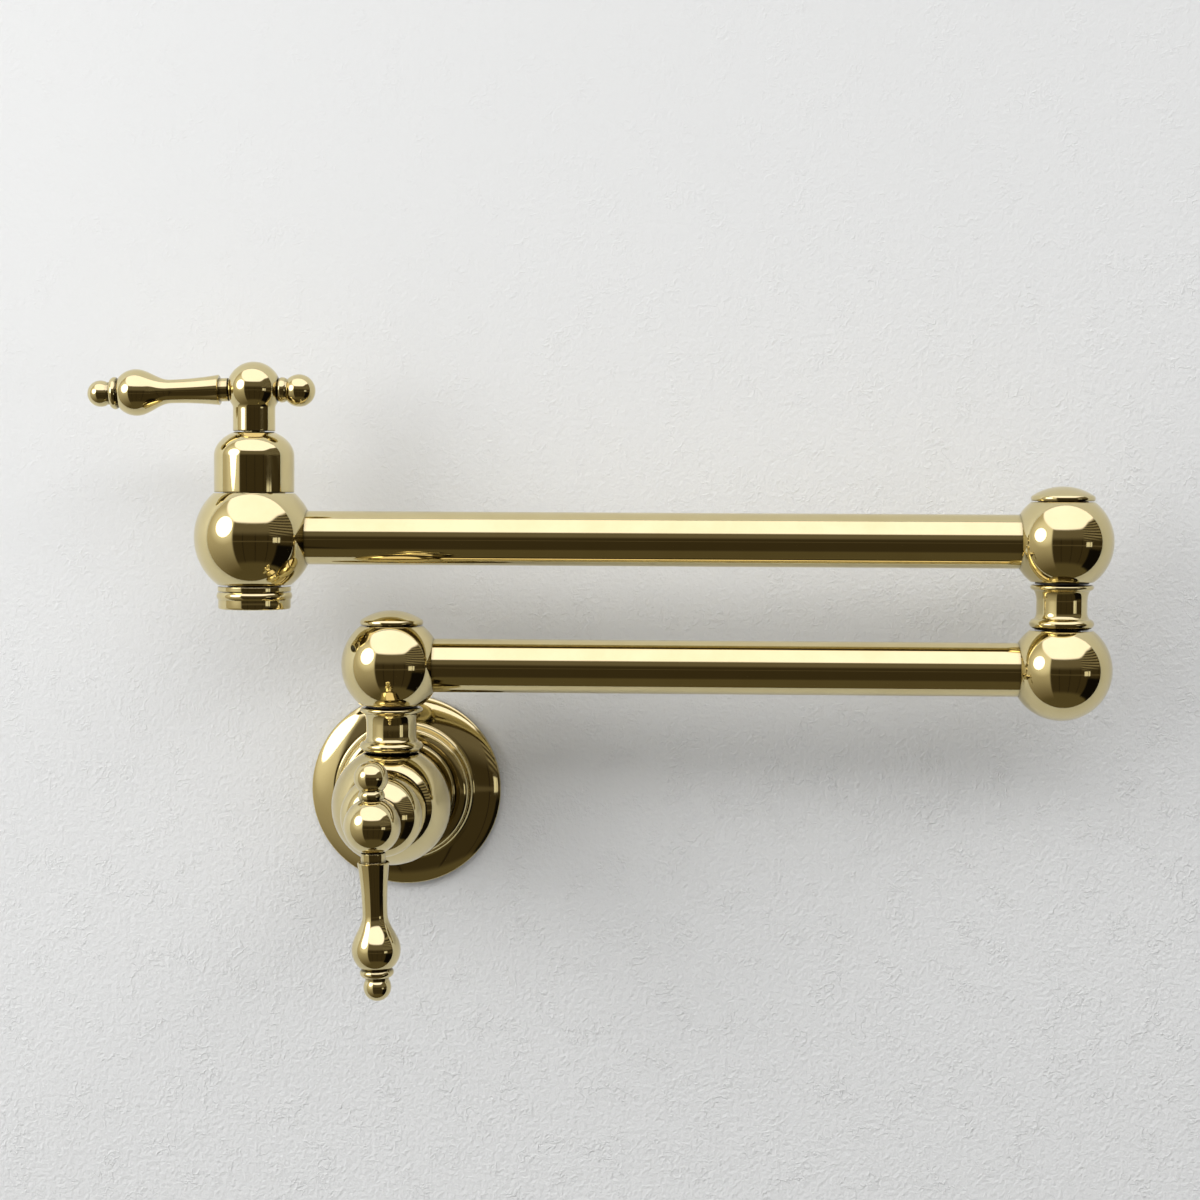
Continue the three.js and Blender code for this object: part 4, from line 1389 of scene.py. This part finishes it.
CANOPY_DROP_SIDE = (34, 70)
CANOPY_EDGE = 28
CANOPY_CORNER = -30
CANOPY_SLANT = 2.03
CANOPY_SLANT_FADE = (-5, 5)
LAMP_PLACE = (-0.787, -0.622, 0.394)
LAMP_SIZE = 0.6
WALL_BEHIND = 0.05  # how far the stage's wall lies behind the flange's back


def mirrored_studio(graph, direction):
    """The studio's colour by direction: pale above, a light screen on the left, dark ahead."""
    x, y, z = (graph.part_of(direction, axis) for axis in "XYZ")
    rise = graph.maths("ARCSINE", z) * DEGREES
    side = graph.maths("ARCTAN2", x, -y) * DEGREES

    def striped(angle, width, fade):
        """0 on lines two widths apart, 1 between them."""
        return graph.maths("PINGPONG", angle, width).smooth(*fade)

    seams = striped(side + BOARD_WIDTH, BOARD_WIDTH, SEAM_FADE)
    boards = graph.blend(seams, BOARD_SEAM, BOARDS)
    tone = graph.blend(rise.smooth(*FLOOR_TO_BOARDS), FLOOR, boards)
    tone = graph.blend(rise.between(*RAIL_RISE, 0.5), tone, RAIL)
    tone = graph.blend(rise.smooth(*BOARDS_TO_FAR_SIDE), tone, FAR_SIDE)
    ripple = graph.maths("SINE", rise * SLAT_RIPPLE + side * SLAT_SLOPE)
    slats = graph.blend(ripple.smooth(*SLAT_FADE), BOARDS, RIGHT_SIDE)
    tone = graph.blend(side.smooth(*SLATS_SIDE) * rise.smooth(*SLATS_RISE), tone, slats)
    recess = side.between(*RECESS_SIDE, RECESS_SOFT) * rise.between(*RECESS_RISE, RECESS_SOFT)
    tone = graph.blend(recess, tone, RECESS)
    panes = striped(side - PANES_SIDE[0], PANE_WIDTH, PANE_FADE)
    panes *= striped(rise - PANES_RISE[0], PANE_WIDTH, PANE_FADE)
    near_panes = side.between(*PANES_SIDE, 1) * rise.between(*PANES_RISE, 1)
    tone = graph.blend(near_panes * panes, tone, PANES)

    left_tone = graph.blend(rise.smooth(*LEFT_SCREEN_LIGHT), LEFT_SCREEN_LOW, LEFT_SCREEN)
    toward_lamp = tuple(Vector(LAMP_PLACE).normalized())
    settings = {"operation": "DOT_PRODUCT"}
    inputs = {0: direction, 1: toward_lamp}
    nearness = graph.node("ShaderNodeVectorMath", settings, inputs, "Value")
    left_tone = graph.blend(nearness.smooth(*GLOW_FADE), left_tone, GLOW)
    left = (1 - side.smooth(*LEFT_SCREEN_SIDE)) * rise.smooth(*LEFT_SCREEN_FOOT)
    tone = graph.blend(left, tone, left_tone)

    lower_edge = rise - side.smooth(*CANOPY_DROP_SIDE) * CANOPY_DROP
    slant = side - CANOPY_CORNER + (rise - CANOPY_EDGE) * CANOPY_SLANT
    above = lower_edge.smooth(*CANOPY_RISE) * slant.smooth(*CANOPY_SLANT_FADE)
    return graph.blend(above, tone, CANOPY)


OVERHEAD_FADE = (0.55, 0.92)  # heights of a direction, as shares of straight up
OVERHEAD_LOSS = 0.85


def studio_world(graph):
    """The studio as the brass mirrors it, its grey light on the wall, and white for the viewer."""
    stage = bpy.context.scene.pot_filler_stage
    direction = graph.node("ShaderNodeTexCoord", output="Generated")

    def background(colour, strength):
        inputs = {"Color": colour, "Strength": strength}
        return graph.node("ShaderNodeBackground", None, inputs)

    tone = mirrored_studio(graph, direction)
    mirrored = background(tone, stage.studio)
    overhead = 1 - graph.part_of(direction, "Z").smooth(*OVERHEAD_FADE) * OVERHEAD_LOSS
    soft = background(rgba((1, 1, 1)), tone * (overhead * stage.fill) + stage.haze)
    glossy = graph.node("ShaderNodeLightPath", output="Is Glossy Ray")
    lit = graph.mixed(glossy, soft, mirrored)
    white = background(rgba((1, 1, 1)), 1)
    seen = graph.node("ShaderNodeLightPath", output="Is Camera Ray")
    graph.surface(graph.mixed(seen, lit, white), "ShaderNodeOutputWorld")


# The wall's paint: places in metres from the origin, noise in spots per metre.
# WALL_FADE and WALL_FADE_SLOPE set painted shade: the wall's colour darkens towards the bottom and
# a little towards the right.
WALL_FADE = (-0.35, 0.4)
WALL_FADE_SLOPE = 0.1
CALM_FADE = (-0.25, 0.3)
CALM_SLOPE = 0.4
CALM_LOSS = 0.75
STIPPLE = 520
SWEPT = 210
STROKE_FADE = (0, 0.05)
PATCHES = 80
PATCH_FADE = (0.42, 0.66)


def painted_wall(graph):
    """White paint with a fine roller texture, seen from the front only, with painted shade that
    makes it duller low down.
    """
    stage = bpy.context.scene.pot_filler_stage
    place = graph.place()
    height = graph.part_of(place, "Z")
    across = graph.part_of(place, "X")
    # Painted shade: a mask that is 0 low down and 1 high up, leaning a little with the width.
    low = (height - across * WALL_FADE_SLOPE).smooth(*WALL_FADE)
    calm = (height - across * CALM_SLOPE).smooth(*CALM_FADE)
    stipple = graph.noise(place, STIPPLE, 3, 0.6)
    swept = graph.noise(place, SWEPT, 3, 0.55) - 0.5
    strokes = 1 - graph.maths("ABSOLUTE", swept).smooth(*STROKE_FADE)
    patches = graph.noise(place, PATCHES, 2, 0.5).smooth(*PATCH_FADE)
    relief = (stipple * 0.7 + strokes * patches * 0.2) * (1 - calm * CALM_LOSS)
    shade = tuple(channel * stage.wall_fade for channel in stage.wall)
    colour = graph.blend(low, shade, stage.wall)
    paint = skin(graph, colour, 0, 0.75, graph.bump(relief, 0.9, 0.001))
    clear = graph.node("ShaderNodeBsdfTransparent")
    back = graph.node("ShaderNodeNewGeometry", output="Backfacing")
    graph.surface(graph.mixed(back, paint, clear))


def aimed(location, target):
    """A matrix at `location` whose -Z looks at `target`, both in metres."""
    look = Vector(target) - Vector(location)
    turn = look.to_track_quat("-Z", "Y").to_matrix().to_4x4()
    return Matrix.Translation(location) @ turn


class POTFILLER_OT_stage(bpy.types.Operator):
    """Make the wall behind the part, the studio's light and the lamp"""

    bl_idname = "potfiller.stage"
    bl_label = "Wall and light"

    def execute(self, context):
        scene = context.scene
        stage = scene.pot_filler_stage
        made = bmesh.new()
        half = stage.wall_width / 2
        corners = ((-half, -half), (half, -half), (half, half), (-half, half))
        made.faces.new([made.verts.new((x, WALL_BEHIND * MM, z)) for x, z in corners])
        mesh = bpy.data.meshes.new("stage_wall")
        made.to_mesh(mesh)
        made.free()
        wall = bpy.data.objects.new("stage_wall", mesh)
        scene.collection.objects.link(wall)
        mesh.materials.append(material("stage_wall", painted_wall))

        lamp = bpy.data.lights.new("key_lamp", "AREA")
        lamp.shape = "DISK"
        lamp.size = LAMP_SIZE
        lamp.energy = stage.lamp_power
        key = bpy.data.objects.new("key_lamp", lamp)
        key.matrix_world = aimed(LAMP_PLACE, (0, 0, 0))
        scene.collection.objects.link(key)

        scene.world = bpy.data.worlds.new("studio")
        scene.world.use_nodes = True
        studio_world(Graph(scene.world.node_tree))
        scene.view_settings.view_transform = "Standard"
        return {"FINISHED"}


CAMERA_PLACE = Vector((110.53, -944.48, 120.62))
CAMERA_YAW = math.radians(-2.097)
CAMERA_PITCH = math.radians(-2.763)
CAMERA_ROLL = math.radians(0.28)
SENSOR = 36


class POTFILLER_OT_camera(bpy.types.Operator):
    """Set the camera in front of the wall"""

    bl_idname = "potfiller.camera"
    bl_label = "Camera"

    def execute(self, context):
        scene = context.scene
        data = bpy.data.cameras.new("camera")
        data.sensor_width = SENSOR
        data.lens = scene.pot_filler_stage.lens
        camera = bpy.data.objects.new("camera", data)
        scene.collection.objects.link(camera)
        forward = Vector((
            math.sin(CAMERA_YAW) * math.cos(CAMERA_PITCH),
            math.cos(CAMERA_YAW) * math.cos(CAMERA_PITCH),
            math.sin(CAMERA_PITCH),
        ))
        level = Vector((math.cos(CAMERA_YAW), -math.sin(CAMERA_YAW), 0))
        upright = level.cross(forward)
        right = level * math.cos(CAMERA_ROLL) + upright * math.sin(CAMERA_ROLL)
        up = upright * math.cos(CAMERA_ROLL) - level * math.sin(CAMERA_ROLL)
        turn = Matrix((right, up, -forward)).transposed().to_4x4()
        camera.matrix_world = Matrix.Translation(CAMERA_PLACE * MM) @ turn
        scene.camera = camera
        return {"FINISHED"}


OPERATORS = (
    POTFILLER_OT_camera,
    POTFILLER_OT_inner,
    POTFILLER_OT_inlet,
    POTFILLER_OT_flange,
    POTFILLER_OT_valves,
    POTFILLER_OT_swivels,
    POTFILLER_OT_arms,
    POTFILLER_OT_handles,
    POTFILLER_OT_outlet,
    POTFILLER_OT_stage,
)


class POTFILLER_PT_panel(bpy.types.Panel):
    """Lists the pot filler's pieces and settings"""

    bl_idname = "POTFILLER_PT_panel"
    bl_label = "Pot filler"
    bl_space_type = "VIEW_3D"
    bl_region_type = "UI"
    bl_category = "Pot filler"

    def draw(self, context):
        for group in (context.scene.pot_filler_finish, context.scene.pot_filler_stage):
            box = self.layout.box()
            for name in group.__annotations__:
                box.prop(group, name)
        for operator in OPERATORS:
            self.layout.operator(operator.bl_idname)


CLASSES = (PotFillerFinish, PotFillerStage, *OPERATORS, POTFILLER_PT_panel)


def register():
    for each in CLASSES:
        bpy.utils.register_class(each)
    bpy.types.Scene.pot_filler_finish = bpy.props.PointerProperty(type=PotFillerFinish)
    bpy.types.Scene.pot_filler_stage = bpy.props.PointerProperty(type=PotFillerStage)


def unregister():
    del bpy.types.Scene.pot_filler_stage
    del bpy.types.Scene.pot_filler_finish
    for each in reversed(CLASSES):
        bpy.utils.unregister_class(each)


def main():
    register()
    for operator in OPERATORS:
        group, name = operator.bl_idname.split(".")
        getattr(getattr(bpy.ops, group), name)()


if __name__ == "__main__":
    main()
